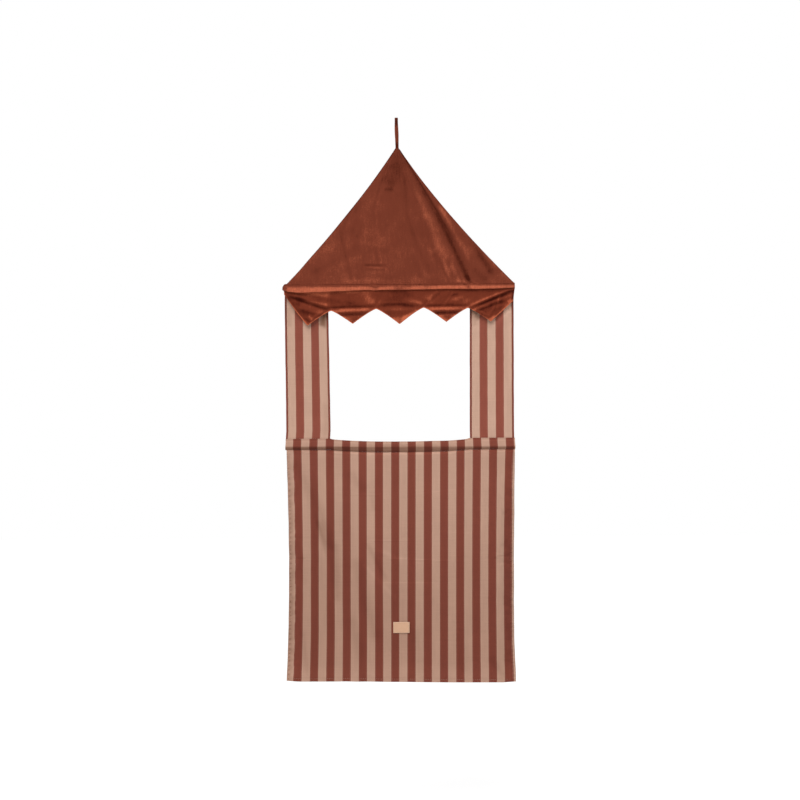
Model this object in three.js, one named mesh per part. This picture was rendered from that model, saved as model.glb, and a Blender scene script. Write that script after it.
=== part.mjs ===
import * as THREE from "three";

// A hanging puppet theatre for a child's room. A strap loop carries a flat velvet roof, a wooden rod spreads
// its eave, and a velvet valance, two striped side panels and a striped front cloth hang below it.
// A second rod in the counter sleeve keeps the lower edge of the stage window straight.
// Millimetres, +Z up, the audience looks along +Y. The hook bears at the origin, inside the top of the loop.

// Clearances
const seamGap = 0.3;
const rodGap = 0.5;

// Widths: the eave is the widest, and everything below it ends a little within
const eaveWidth = 714;
const rodShortfall = 14;
const sideInset = 4;
const counterInset = 1;
const frontInset = 3.5;

// Cloths
const velvetThickness = 1.6;
const liningThickness = 0.9;
const cottonThickness = 0.8;
const tapeThickness = 0.6;
const stripeWidth = 25;

// Hanging loop
const strapWidth = 10;
const strapThickness = 1.4;
const strandGap = 0.4;
const eyeWidth = 9;
const loopLength = 91;
const tailLength = 38;
const loopTwist = THREE.MathUtils.degToRad(38);

// Roof
const roofHeight = 430;
const apexWidth = 12;
const roofHollow = 12;
const roofSeamHalfGap = 0.15;
const roofBulge = 9;
const roofBackBulge = 7;
const roofFoldDepth = 11;
const roofFootOffset = 2.5;
const roofFootFold = 1.2;
const roofFootShare = 0.88;
const roofFrontFoldShares = [
  { top: 0.48, foot: 0.58, width: 0.09, depth: 1 },
  { top: 0.82, foot: 0.67, width: 0.05, depth: -0.75 },
  { top: 0.96, foot: 0.76, width: 0.05, depth: 0.35 },
  { top: 1.12, foot: 0.85, width: 0.05, depth: -0.4 },
  { top: 0.1, foot: 0.28, width: 0.06, depth: -0.22 },
  { top: -0.75, foot: -0.18, width: 0.06, depth: -0.2 },
  { top: -1.2, foot: -0.4, width: 0.07, depth: -0.25 },
];
const roofBackFoldShares = [
  { top: -0.6, foot: -0.5, width: 0.13, depth: 0.5 },
  { top: 0.15, foot: 0.05, width: 0.12, depth: -0.3 },
  { top: 0.7, foot: 0.55, width: 0.13, depth: 0.45 },
];

// Eave rod and the velvet sleeve round it
const rodDiameter = 15;
const rodChamfer = 0.8;
const sleeveSwell = 0.6;
const sleeveNose = 4;
const sleeveEndWall = 3;

// Valance
const valanceDrop = 72;
const toothDepth = 39;
const toothCount = 5;
const valanceLean = 6;
const valanceStandOff = 2.8;
const ledgeDepth = 6;
const ledgeHeight = 13;
const cornerFoldDepth = 5;
const valanceLeftRise = 57;
const valanceRightRise = 21;
const columnsPerTooth = 8;
const valanceRowShares = [0, 0.25, 0.5, 0.68, 0.84, 1];
const valanceLedgeShares = [1, 0.45, 1];
const cornerFoldTurns = [0.32, 0.85];
const cornerFoldSpread = 0.16;

// Side panels and their binding tape
const stageHeight = 493;
const sideStripes = 5;
const bindingWidth = 6;
const sideWave = 2.4;

// Counter sleeve, its sag over the window, and the rod in it
const counterRise = 26;
const counterRiseMiddle = 15;
const counterDropMiddle = 16.5;
const counterFold = 3;

// Front cloth, its hems and the leather label
const frontLength = 724.5;
const frontDrawIn = 6;
const frontCurl = 22;
const frontFoldDepth = 5;
const frontFootCurlShare = 0.3;
const frontFoldReachShare = 0.8;
const frontFoldShares = [
  { top: -0.86, foot: -0.48, width: 0.07, depth: -0.9 },
  { top: -0.7, foot: -0.38, width: 0.07, depth: 0.7 },
  { top: -0.45, foot: -0.29, width: 0.06, depth: -0.7 },
  { top: -0.25, foot: -0.12, width: 0.08, depth: 0.6 },
  { top: 0.12, foot: 0.04, width: 0.09, depth: -0.35 },
  { top: 0.5, foot: 0.42, width: 0.12, depth: 0.3 },
];
const sideHem = 12;
const bottomHem = 14;
const labelWidth = 50;
const labelHeight = 34;
const labelThickness = 1.2;
const labelCorner = 1.5;
const labelRise = 167;
const labelShift = 3;

// Widths, heights and radii that follow from the sizes above
const rodLength = eaveWidth - rodShortfall;
const toothPitch = eaveWidth / toothCount;
const sideOuter = eaveWidth / 2 - sideInset;
const counterWidth = eaveWidth - 2 * counterInset;
const frontWidth = eaveWidth - 2 * frontInset;
const apexZ = -loopLength;
const eaveZ = apexZ - roofHeight;
const counterZ = eaveZ - stageHeight;
const rodRadius = rodDiameter / 2;
const sleeveInner = rodRadius + rodGap;
const sleeveOuter = sleeveInner + velvetThickness;
const sleeveLargest = sleeveOuter + sleeveSwell;
const stageTopZ = eaveZ - sleeveLargest - seamGap;
const tailThickness = 2 * strapThickness + strandGap;
const counterRadius = rodRadius + rodGap + cottonThickness;
const sideHalf = (sideStripes * stripeWidth) / 2 + bindingWidth;
const windowHalf = sideOuter - 2 * sideHalf;

// Colours of the photographed cloths, wood and leather
const velvet = { color: 0x76392a, roughness: 0.8, metalness: 0 };
const cotton = { color: 0xb98f7c, roughness: 0.85, metalness: 0 };
const tape = { color: 0x7c3a33, roughness: 0.8, metalness: 0 };
const wood = { color: 0xc9a877, roughness: 0.6, metalness: 0 };
const leather = { color: 0xd4ab8d, roughness: 0.55, metalness: 0 };

const theatre = new THREE.Group();

function addPiece(name, geometry, finish) {
  const mesh = new THREE.Mesh(geometry, new THREE.MeshStandardMaterial(finish));
  mesh.name = name;
  theatre.add(mesh);
  return mesh;
}

// A closed surface from its points and its four-cornered faces, each face cut in two triangles.
function solidOf(points, faces) {
  const geometry = new THREE.BufferGeometry();
  const index = faces.flatMap(([a, b, c, d]) => [a, b, c, a, c, d]);
  geometry.setAttribute("position", new THREE.Float32BufferAttribute(points.flat(), 3));
  geometry.setIndex(index);
  geometry.computeVertexNormals();
  return geometry;
}

// Shares from 0 to 1 in equal steps.
function steps(count) {
  return Array.from({ length: count + 1 }, (_, i) => i / count);
}

const smooth = (t) => THREE.MathUtils.smoothstep(t, 0, 1);
const hump = (offset, width) => Math.exp(-((offset / width) ** 2));

// A sheet of cloth. place(u, v) gives its front face, u from left to right and v from top to bottom,
// and the back face lies one thickness behind it.
function sheetGeometry(us, vs, thickness, place) {
  const across = us.length;
  const count = across * vs.length;
  const front = vs.flatMap((v) => us.map((u) => place(u, v)));
  const points = [...front, ...front.map(([x, y, z]) => [x, y + thickness, z])];
  const at = (i, j) => j * across + i;
  const faces = [];
  for (let j = 0; j + 1 < vs.length; j += 1) {
    for (let i = 0; i + 1 < across; i += 1) {
      const [a, b, c, d] = [at(i, j), at(i, j + 1), at(i + 1, j + 1), at(i + 1, j)];
      faces.push([a, b, c, d]);
      faces.push([a + count, d + count, c + count, b + count]);
    }
  }
  const rim = [
    ...us.slice(1).map((_, i) => at(i, 0)),
    ...vs.slice(1).map((_, j) => at(across - 1, j)),
    ...us.slice(1).map((_, i) => at(across - 1 - i, vs.length - 1)),
    ...vs.slice(1).map((_, j) => at(0, vs.length - 1 - j)),
  ];
  rim.forEach((a, i) => {
    const b = rim[(i + 1) % rim.length];
    faces.push([a, b, b + count, a + count]);
  });
  return solidOf(points, faces);
}

// A solid through rings of equally many points, each ring turning right-handed about the way they lead.
// capFaces closes the last ring and, turned round, the first.
function loftGeometry(rings, capFaces) {
  const n = rings[0].length;
  const last = (rings.length - 1) * n;
  const faces = capFaces.map((face) => face.map((k) => k + last));
  capFaces.forEach((face) => faces.push([...face].reverse()));
  for (let start = 0; start < last; start += n) {
    for (let k = 0; k < n; k += 1) {
      const next = (k + 1) % n;
      faces.push([start + k, start + next, start + n + next, start + n + k]);
    }
  }
  return solidOf(rings.flat(), faces);
}

// A tunnel through pairs of outer and inner rings, open at both ends.
function tunnelGeometry(outerRings, innerRings) {
  const n = outerRings[0].length;
  const last = (outerRings.length - 1) * n;
  const inner = outerRings.length * n;
  const faces = [];
  for (let k = 0; k < n; k += 1) {
    const next = (k + 1) % n;
    for (let start = 0; start < last; start += n) {
      const [a, b, c, d] = [start + k, start + next, start + n + next, start + n + k];
      faces.push([a, b, c, d]);
      faces.push([inner + a, inner + d, inner + c, inner + b]);
    }
    faces.push([inner + k, inner + next, next, k]);
    faces.push([last + k, last + next, inner + last + next, inner + last + k]);
  }
  return solidOf([...outerRings, ...innerRings].flat(), faces);
}

// A solid of revolution about a line along X at the given height; its profile runs as [x, radius] pairs.
function turnedGeometry(profile, height, sides) {
  const points = profile.map(([x, radius]) => new THREE.Vector2(radius, x));
  return new THREE.LatheGeometry(points, sides).rotateZ(-Math.PI / 2).translate(0, 0, height);
}

// The strap goes up from the roof, round the hook and down again, with a slow twist in its strands.
function addLoop() {
  const strandFoot = (strandGap + strapThickness) / 2;
  const crownRadius = (eyeWidth + strapThickness) / 2;
  const crownZ = -eyeWidth / 2;
  const footZ = apexZ + tailThickness / 2 + seamGap;
  const ring = (y, z, ny, nz) => {
    const share = THREE.MathUtils.clamp((z - footZ) / (crownZ - footZ), 0, 1);
    const twist = loopTwist * Math.sin(Math.PI * share) ** 2;
    const corners = [[1, -1], [1, 1], [-1, 1], [-1, -1]];
    return corners.map(([side, face]) => {
      const across = (side * strapWidth) / 2;
      const along = y + (face * ny * strapThickness) / 2;
      const turned = new THREE.Vector2(across, along).rotateAround(new THREE.Vector2(), twist);
      return [turned.x, turned.y, z + (face * nz * strapThickness) / 2];
    });
  };
  const strand = steps(14).slice(0, -1).map((share) => {
    const y = strandFoot + (crownRadius - strandFoot) * smooth(share);
    return [y, footZ + (crownZ - footZ) * share];
  });
  const up = strand.map(([y, z]) => ring(y, z, 1, 0));
  const round = steps(10).map((share) => {
    const [c, s] = [Math.cos(Math.PI * share), Math.sin(Math.PI * share)];
    return ring(crownRadius * c, crownZ + crownRadius * s, c, s);
  });
  const down = strand.reverse().map(([y, z]) => ring(-y, z, -1, 0));
  addPiece("hanging_loop", loftGeometry([...up, ...round, ...down], [[0, 1, 2, 3]]), velvet);
}

// The two ends of the strap, sewn together and hidden between the roof's cloths. The top is rounded about
// the line on which the roof swings below the loop.
function addLoopTail() {
  const outline = new THREE.Shape();
  outline.moveTo(-tailThickness / 2, -tailLength);
  outline.lineTo(tailThickness / 2, -tailLength);
  outline.absarc(0, 0, tailThickness / 2, 0, Math.PI, false);
  outline.closePath();
  const geometry = new THREE.ExtrudeGeometry(outline, {
    depth: strapWidth,
    bevelEnabled: false,
    curveSegments: 8,
  });
  const upright = new THREE.Matrix4().makeBasis(
    new THREE.Vector3(0, 1, 0),
    new THREE.Vector3(0, 0, 1),
    new THREE.Vector3(1, 0, 0),
  );
  geometry.applyMatrix4(upright).translate(-strapWidth / 2, 0, apexZ);
  addPiece("loop_tail", geometry, velvet);
}

// Half the roof's width, v of the way from the apex to the eave: its slanted edges bow in a little.
function roofHalfWidth(v) {
  const foot = eaveWidth / 2 - sleeveNose;
  return apexWidth / 2 + (foot - apexWidth / 2) * v - roofHollow * 4 * v * (1 - v);
}

// How far a roof cloth stands off the middle plane before its folds: it opens for the strap's tail at the
// apex, closes to the seam along the slanted edges and opens again over the eave sleeve.
function roofStandOff(u, v, bulge) {
  const tailShare = tailLength / roofHeight;
  const open = (tailThickness / 2 + seamGap) * (1 - smooth((v - tailShare) / tailShare));
  const foot = roofFootOffset * smooth((v - roofFootShare) / (1 - roofFootShare));
  return Math.max(open, foot, roofSeamHalfGap) + bulge * (1 - u * u) * Math.sin(Math.PI * v ** 0.8);
}

// Folds run from a share of the half width at the apex to another at the eave, each with a width share
// and a depth share: ridges come forward, valleys go back.
function foldRelief(folds, u, v) {
  return folds.reduce((sum, { top, foot, width, depth }) => {
    return sum + depth * hump(u - THREE.MathUtils.lerp(top, foot, v), width);
  }, 0);
}

function roofGeometry(us, vs, isFront) {
  const top = apexZ - seamGap;
  return sheetGeometry(us, vs, velvetThickness, (u, v) => {
    const x = u * roofHalfWidth(v);
    const foot = eaveZ + sleeveRadius(x) + seamGap;
    const growth = Math.sqrt(v) * (1 - v ** 5) * roofFoldDepth + v ** 5 * roofFootFold;
    const folds = isFront ? roofFrontFoldShares : roofBackFoldShares;
    const bulge = isFront ? roofBulge : roofBackBulge;
    const raised = roofStandOff(u, v, bulge) + growth * foldRelief(folds, u, v);
    const out = Math.max(raised, roofSeamHalfGap);
    return [x, isFront ? -out - velvetThickness : out, THREE.MathUtils.lerp(top, foot, v)];
  });
}

// The columns crowd to the right, where the deep fold of the front cloth is.
function addRoof() {
  const us = steps(23).map((share) => 1 - 2 * (1 - share) ** 1.3);
  addPiece("roof_front_panel", roofGeometry(us, steps(16), true), velvet);
  const backUs = steps(12).map((share) => 2 * share - 1);
  addPiece("roof_back_panel", roofGeometry(backUs, steps(10), false), velvet);
}

// The eave sleeve swells between the valance's notches and is drawn in at each of them.
function sleeveRadius(x) {
  const notch = (Math.round(x / toothPitch - 0.5) + 0.5) * toothPitch;
  return sleeveOuter + sleeveSwell * (1 - hump(x - notch, toothPitch / 4));
}

function addEaveSleeve() {
  const end = eaveWidth / 2;
  const nose = steps(4).slice(0, -1).map((share) => {
    const turn = (Math.PI / 2) * share;
    return [-end + sleeveNose * (1 - Math.cos(turn)), sleeveRadius(-end) * Math.sin(turn)];
  });
  const along = steps(20).map((share) => {
    const x = THREE.MathUtils.lerp(-end + sleeveNose, end, share);
    return [x, sleeveRadius(x)];
  });
  const bottom = -end + sleeveEndWall;
  const profile = [...nose, ...along, [end, sleeveInner], [bottom, sleeveInner], [bottom, 0]];
  addPiece("eave_sleeve", turnedGeometry(profile, eaveZ, 16), velvet);
}

// A dowel with chamfered ends, lying in a tunnel.
function addRod(name, length, start, height) {
  const inner = rodRadius - rodChamfer;
  const end = start + length;
  const profile = [
    [start, 0],
    [start, inner],
    [start + rodChamfer, rodRadius],
    [end - rodChamfer, rodRadius],
    [end, inner],
    [end, 0],
  ];
  addPiece(name, turnedGeometry(profile, height, 24), wood);
}

// How far below the eave the valance's edge lies: five teeth, the left end folded under on a slant
// and the right end cut short.
function valanceEdge(x) {
  const lastTip = ((toothCount - 1) / 2) * toothPitch;
  const end = eaveWidth / 2 - sleeveNose;
  const beyond = (Math.abs(x) - lastTip) / (end - lastTip);
  if (beyond > 0) {
    const rise = x < 0 ? valanceLeftRise : valanceRightRise;
    return valanceDrop + toothDepth - (toothDepth + rise) * beyond;
  }
  const phase = x / toothPitch - Math.round(x / toothPitch);
  return valanceDrop + toothDepth * (1 - 2 * Math.abs(phase)) ** 1.3;
}

// How far the valance hangs forward: it leans out, folds over in a ledge across its middle teeth,
// and pulls in folds from both upper corners to the outer notches.
function valanceRelief(x, drop) {
  const share = (drop - sleeveLargest) / (valanceDrop + toothDepth - sleeveLargest);
  const ledge = valanceLedgeShares.reduce((sum, depthShare, k) => {
    const tip = (k - 1) * toothPitch;
    return sum + depthShare * hump(x - tip, toothPitch / 3);
  }, 0) * hump(drop - valanceDrop - ledgeHeight / 2, ledgeHeight);
  const reach = Math.hypot(eaveWidth / 2 - Math.abs(x), drop - sleeveLargest);
  const turn = Math.atan2(drop - sleeveLargest, eaveWidth / 2 - Math.abs(x));
  const spread = hump(reach - toothPitch / 2, toothPitch / 2);
  const corner = cornerFoldTurns.reduce((sum, at) => sum + hump(turn - at, cornerFoldSpread), 0);
  return valanceLean * share + ledgeDepth * ledge + cornerFoldDepth * spread * corner;
}

function valanceGeometry(thickness, standOff) {
  const end = eaveWidth / 2 - sleeveNose;
  const xs = steps(toothCount * columnsPerTooth).map((share) => {
    const x = ((2 * share - 1) * toothCount * toothPitch) / 2;
    return THREE.MathUtils.clamp(x, -end, end);
  });
  return sheetGeometry(xs, valanceRowShares, thickness, (x, share) => {
    const top = sleeveLargest + seamGap;
    const drop = THREE.MathUtils.lerp(top, valanceEdge(x), share);
    return [x, -standOff - thickness - valanceRelief(x, drop), eaveZ - drop];
  });
}

function addValance() {
  const frontOff = valanceStandOff + liningThickness + seamGap;
  addPiece("valance_lining", valanceGeometry(liningThickness, valanceStandOff), tape);
  addPiece("valance_front", valanceGeometry(velvetThickness, frontOff), velvet);
}

// The counter sleeve's fold line and its bottom both sag across the window and run straight below
// the side panels.
function counterSag(x) {
  return Math.max(0, 1 - (x / windowHalf) ** 2);
}

const counterTop = (x) => THREE.MathUtils.lerp(counterRise, counterRiseMiddle, counterSag(x));
const counterBottom = (x) => THREE.MathUtils.lerp(counterRadius, counterDropMiddle, counterSag(x));

// A side panel hangs from the eave to the counter, slightly bellied, with tape folded round both edges.
function addSidePanel(name, side) {
  const centre = side * (sideOuter - sideHalf);
  const clothHalf = sideHalf - tapeThickness - seamGap;
  const foot = counterZ + counterRise + seamGap;
  const belly = (x, v) => sideWave * Math.sin(Math.PI * v) * (1 - (x / sideHalf) ** 2) ** 2;
  const inside = steps(sideStripes).map((share) => (2 * share - 1) * (sideHalf - bindingWidth));
  const vs = steps(8);
  const panel = sheetGeometry([-clothHalf, ...inside, clothHalf], vs, cottonThickness, (x, v) => {
    return [centre + x, -cottonThickness / 2 - belly(x, v), THREE.MathUtils.lerp(stageTopZ, foot, v)];
  });
  addPiece(name + "_side_panel", panel, cotton);
  [["outer", side], ["inner", -side]].forEach(([edge, facing]) => {
    const lip = facing * sideHalf;
    const outerFace = cottonThickness / 2 + seamGap + tapeThickness;
    const innerFace = cottonThickness / 2 + seamGap;
    const hook = lip - facing * tapeThickness;
    const arm = lip - facing * bindingWidth;
    const section = [
      [arm, -outerFace],
      [lip, -outerFace],
      [lip, outerFace],
      [arm, outerFace],
      [arm, innerFace],
      [hook, innerFace],
      [hook, -innerFace],
      [arm, -innerFace],
    ];
    if (facing < 0) section.reverse();
    const rings = vs.map((v) => {
      const z = THREE.MathUtils.lerp(foot, stageTopZ, v);
      return section.map(([x, y]) => [centre + x, y, z]);
    });
    const caps = [[0, 1, 6, 7], [1, 2, 5, 6], [2, 3, 4, 5]];
    addPiece(name + "_" + edge + "_binding", loftGeometry(rings, caps), tape);
  });
}

// The cotton tunnel round the counter rod: round below, drawn up to a fold above.
function addCounterSleeve() {
  const across = steps(12).map((share) => (2 * share - 1) * windowHalf);
  const xs = [-counterWidth / 2, ...across, counterWidth / 2];
  const ringAt = (x, radius, rise, drop) => steps(16).slice(0, -1).map((share) => {
    const [c, s] = [Math.cos(2 * Math.PI * share), Math.sin(2 * Math.PI * share)];
    const y = s > 0 ? radius * Math.sign(c) * Math.abs(c) ** 1.5 : radius * c;
    return [x, y, counterZ + s * (s > 0 ? rise : drop)];
  });
  const outer = xs.map((x) => ringAt(x, counterRadius, counterTop(x), counterBottom(x)));
  const inner = xs.map((x) => {
    const drop = counterBottom(x) - cottonThickness;
    return ringAt(x, counterRadius - cottonThickness, counterTop(x) - counterFold, drop);
  });
  addPiece("counter_sleeve", tunnelGeometry(outer, inner), cotton);
}

// How far the front cloth's middle thickness lies behind the rods' plane: its side edges curl back, and
// soft folds run down from its top corners.
function frontDepth(across, v) {
  const curlStart = frontWidth / 2 - 2 * stripeWidth;
  const edge = Math.max(0, (Math.abs(across) - curlStart) / (2 * stripeWidth));
  const curl = frontCurl * edge ** 2 * (Math.sin(Math.PI * v) + v * frontFootCurlShare);
  const u = (2 * across) / frontWidth;
  const growth = Math.sin(Math.PI * Math.min(v ** 0.6, 1) * frontFoldReachShare);
  return curl - frontFoldDepth * growth * foldRelief(frontFoldShares, u, v);
}

function frontPoint(across, v, behind) {
  const drawnIn = frontDrawIn * Math.sin(Math.PI * v) ** 0.8;
  const x = across * (1 - (2 * drawnIn) / frontWidth);
  const top = counterZ - counterBottom(x) - seamGap;
  const z = THREE.MathUtils.lerp(top, counterZ - frontLength, v);
  return [x, frontDepth(across, v) - cottonThickness / 2 + behind, z];
}

// The front cloth, its hems turned to the back, and the leather label sewn on its face.
function addFrontCloth() {
  const half = frontWidth / 2;
  const inner = half - sideHem;
  const stripes = Math.floor((2 * inner) / stripeWidth);
  const first = -(stripes * stripeWidth) / 2;
  const inside = steps(stripes).map((share) => first + share * stripes * stripeWidth);
  const xs = [-half, -inner, ...inside.filter((x) => Math.abs(x) < inner), inner, half];
  const hemShare = bottomHem / frontLength;
  const vs = [...steps(12).map((share) => share * (1 - hemShare)), 1];
  const face = (x, v) => frontPoint(x, v, 0);
  const turned = (x, v) => frontPoint(x, v, cottonThickness + seamGap);
  const sideVs = [...vs.slice(0, -2), 1 - hemShare - seamGap / frontLength];
  const layer = (columns, rows, place) => sheetGeometry(columns, rows, cottonThickness, place);
  addPiece("front_panel", layer(xs, vs, face), cotton);
  addPiece("front_left_hem", layer([-half, -inner], sideVs, turned), cotton);
  addPiece("front_right_hem", layer([inner, half], sideVs, turned), cotton);
  addPiece("front_bottom_hem", layer(xs, vs.slice(-2), turned), cotton);
  addLabel();
}

// The label lies flat on the nearest part of the cloth below it.
function addLabel() {
  const corner = labelWidth / 2;
  const edge = labelHeight / 2;
  const labelZ = counterZ - frontLength + labelRise;
  const vAt = (z) => (counterZ - counterRadius - z) / (frontLength - counterRadius);
  const under = steps(8).flatMap((a) => steps(8).map((b) => {
    const x = labelShift + labelWidth * (a - 1 / 2);
    return frontPoint(x, vAt(labelZ + labelHeight * (b - 1 / 2)), 0)[1];
  }));
  const outline = new THREE.Shape();
  outline.moveTo(labelCorner - corner, -edge);
  outline.absarc(corner - labelCorner, labelCorner - edge, labelCorner, -Math.PI / 2, 0, false);
  outline.absarc(corner - labelCorner, edge - labelCorner, labelCorner, 0, Math.PI / 2, false);
  outline.absarc(labelCorner - corner, edge - labelCorner, labelCorner, Math.PI / 2, Math.PI, false);
  outline.absarc(labelCorner - corner, labelCorner - edge, labelCorner, Math.PI, 1.5 * Math.PI, false);
  const geometry = new THREE.ExtrudeGeometry(outline, {
    depth: labelThickness,
    bevelEnabled: false,
    curveSegments: 4,
  });
  geometry.rotateX(Math.PI / 2).translate(labelShift, Math.min(...under) - seamGap, labelZ);
  addPiece("label", geometry, leather);
}

addLoop();
addLoopTail();
addRoof();
addEaveSleeve();
addRod("eave_rod", rodLength, sleeveEndWall + seamGap - eaveWidth / 2, eaveZ);
addValance();
addSidePanel("left", -1);
addSidePanel("right", 1);
addCounterSleeve();
addRod("counter_rod", rodLength, -rodLength / 2, counterZ);
addFrontCloth();

export default theatre;
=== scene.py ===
import math
import bmesh
import bpy
from mathutils import Matrix, Vector, noise


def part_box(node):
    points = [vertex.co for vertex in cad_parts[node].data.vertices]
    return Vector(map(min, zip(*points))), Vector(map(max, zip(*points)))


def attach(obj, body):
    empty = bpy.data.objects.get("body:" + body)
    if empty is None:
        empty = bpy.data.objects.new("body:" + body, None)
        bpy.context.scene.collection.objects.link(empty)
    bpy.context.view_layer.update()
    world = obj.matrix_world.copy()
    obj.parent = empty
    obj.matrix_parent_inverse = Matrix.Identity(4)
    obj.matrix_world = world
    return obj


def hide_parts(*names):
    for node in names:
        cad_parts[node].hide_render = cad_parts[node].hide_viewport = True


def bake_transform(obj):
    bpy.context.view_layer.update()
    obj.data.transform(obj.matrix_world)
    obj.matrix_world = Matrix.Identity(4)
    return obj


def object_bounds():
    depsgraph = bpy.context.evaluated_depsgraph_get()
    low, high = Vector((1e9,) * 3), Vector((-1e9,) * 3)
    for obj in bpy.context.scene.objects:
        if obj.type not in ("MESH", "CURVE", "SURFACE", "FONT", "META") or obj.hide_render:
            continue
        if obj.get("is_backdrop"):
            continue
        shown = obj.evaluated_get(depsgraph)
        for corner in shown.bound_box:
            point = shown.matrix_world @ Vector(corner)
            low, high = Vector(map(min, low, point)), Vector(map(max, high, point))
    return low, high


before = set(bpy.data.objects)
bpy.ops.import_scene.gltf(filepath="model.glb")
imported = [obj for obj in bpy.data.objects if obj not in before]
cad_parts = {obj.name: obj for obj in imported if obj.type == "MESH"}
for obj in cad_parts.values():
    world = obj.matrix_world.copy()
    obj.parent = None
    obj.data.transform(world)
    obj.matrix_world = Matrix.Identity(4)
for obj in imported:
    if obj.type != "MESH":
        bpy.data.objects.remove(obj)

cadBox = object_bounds()
mm = 0.001
print("frame loaded:", len(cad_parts), "nodes")


# heights and widths that the cloths hang between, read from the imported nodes
def readPlaces():
    eaveLow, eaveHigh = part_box("eave_rod")
    counterLow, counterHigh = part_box("counter_rod")
    panelLow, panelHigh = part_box("left_side_panel")
    sideOuter = -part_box("left_outer_binding")[0].x
    sideInner = -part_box("left_inner_binding")[1].x
    return {
        "loopTop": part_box("hanging_loop")[1].z,
        "tailFoot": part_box("loop_tail")[0].z,
        "apexZ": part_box("roof_front_panel")[1].z,
        "eaveZ": (eaveLow.z + eaveHigh.z) / 2,
        "eaveHalf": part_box("eave_sleeve")[1].x,
        "rodRadius": (eaveHigh.z - eaveLow.z) / 2,
        "eaveRod": (eaveLow.x, eaveHigh.x),
        "counterRod": (counterLow.x, counterHigh.x),
        "valanceHalf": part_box("valance_front")[1].x,
        "counterZ": (counterLow.z + counterHigh.z) / 2,
        "stageTop": panelHigh.z,
        "stageHeight": panelHigh.z - panelLow.z,
        "sideOuter": sideOuter,
        "sideInner": sideInner,
        "sideHalf": (sideOuter - sideInner) / 2,
        "panelHalf": (panelHigh.x - panelLow.x) / 2,
        "frontFoot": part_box("front_panel")[0].z,
        "label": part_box("label"),
    }


places = readPlaces()


def mix(a, b, share):
    return a + (b - a) * share


def smooth(share):
    share = min(max(share, 0), 1)
    return share * share * (3 - 2 * share)


# rises softly from 0 to 1 over a length from its start, both in millimetres
def easeIn(distance, start, length):
    return smooth((distance - start * mm) / (length * mm))


def hump(offset, width):
    return math.exp(-((offset / width) ** 2))


def shares(count):
    return [k / count for k in range(count + 1)]


# a value that drifts softly between -1 and 1 over the given distance
def drift(x, z, distance, seed=0):
    return noise.noise(Vector((x / distance, seed, z / distance)))


# strokes run along straight lines: x, z, x, z in millimetres, the half width where the line starts and
# where it ends, and how far the fold stands out, or how many thousandths lighter the painted tone and shade make the
# cloth
def strokes(table):
    lines = []
    for x0, z0, x1, z1, width0, width1, height in table:
        long = math.hypot(x1 - x0, z1 - z0)
        lines.append((x0 * mm, z0 * mm, (x1 - x0) / long, (z1 - z0) / long, long * mm,
                      width0 * mm, width1 * mm, height * mm))
    return lines


def foldHeight(x, z, lines, tip=0.12):
    total = 0
    for x0, z0, dx, dz, long, width0, width1, height in lines:
        along = ((x - x0) * dx + (z - z0) * dz) / long
        if -tip < along < 1 + tip:
            across = (x - x0) * dz - (z - z0) * dx
            width = mix(width0, width1, min(max(along, 0), 1))
            if abs(across) < 2.6 * width:
                taper = smooth((along + tip) / (2 * tip)) * smooth((1 + tip - along) / (2 * tip))
                total += height * hump(across, width) * taper
    return total


# painted shade: the cloth is lighter where it faces up or left, towards the key lamp, and darker where it faces down
# or right
def shadeFromSlope(height, x, drop, step=1.5 * mm):
    down = (height(x, drop + step) - height(x, drop - step)) / (2 * step)
    side = (height(x + step, drop) - height(x - step, drop)) / (2 * step)
    return 0.6 * math.tanh(1.3 * down + 0.45 * side)


# the values of a table at x: each row starts with its own x, all in millimetres
def lookUp(table, x):
    x = min(max(x / mm, table[0][0]), table[-1][0])
    row0, row1 = next(pair for pair in zip(table, table[1:]) if x <= pair[1][0])
    share = smooth((x - row0[0]) / (row1[0] - row0[0]))
    return [mix(a, b, share) * mm for a, b in zip(row0[1:], row1[1:])]


# colours are written as they look on a screen, from 0 to 255
def shade(*colour):
    def linear(value):
        value /= 255
        return value / 12.92 if value <= 0.04045 else ((value + 0.055) / 1.055) ** 2.4
    return (*(linear(value) for value in colour), 1)


# links or sets a node's inputs
def plug(tree, node, sockets):
    for key, value in sockets.items():
        if isinstance(value, bpy.types.NodeSocket):
            tree.links.new(value, node.inputs[key])
        else:
            node.inputs[key].default_value = value
    return node


def addNode(tree, kind, sockets=(), **settings):
    node = tree.nodes.new(kind)
    for key, value in settings.items():
        setattr(node, key, value)
    return plug(tree, node, dict(sockets))


def calc(tree, operation, *values, clamp=False):
    sockets = dict(enumerate(values))
    return addNode(tree, "ShaderNodeMath", sockets, operation=operation, use_clamp=clamp).outputs[0]


def mixColour(tree, share, a, b, blend="MIX"):
    return addNode(tree, "ShaderNodeMix", {0: share, 6: a, 7: b}, data_type="RGBA", blend_type=blend).outputs[2]


# a colour from the values of its three channels
def joined(tree, red, green, blue):
    return addNode(tree, "ShaderNodeCombineColor", {0: red, 1: green, 2: blue}).outputs[0]


# lightness that each noise raises and lowers by up to half its own weight
def layered(tree, light, noises, weights):
    for layer, weight in zip(noises, weights):
        light = calc(tree, "MULTIPLY_ADD", layer, weight, calc(tree, "SUBTRACT", light, weight / 2))
    return light


def stretched(tree, coordinates, scale, turn=0):
    mapping = addNode(tree, "ShaderNodeMapping", {"Vector": coordinates, "Scale": scale})
    mapping.inputs["Rotation"].default_value[2] = turn
    return mapping.outputs[0]


def noiseOf(tree, coordinates, scale, detail, roughness=0.5):
    sockets = {"Vector": coordinates, "Scale": scale, "Detail": detail, "Roughness": roughness}
    return addNode(tree, "ShaderNodeTexNoise", sockets).outputs[0]


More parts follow.
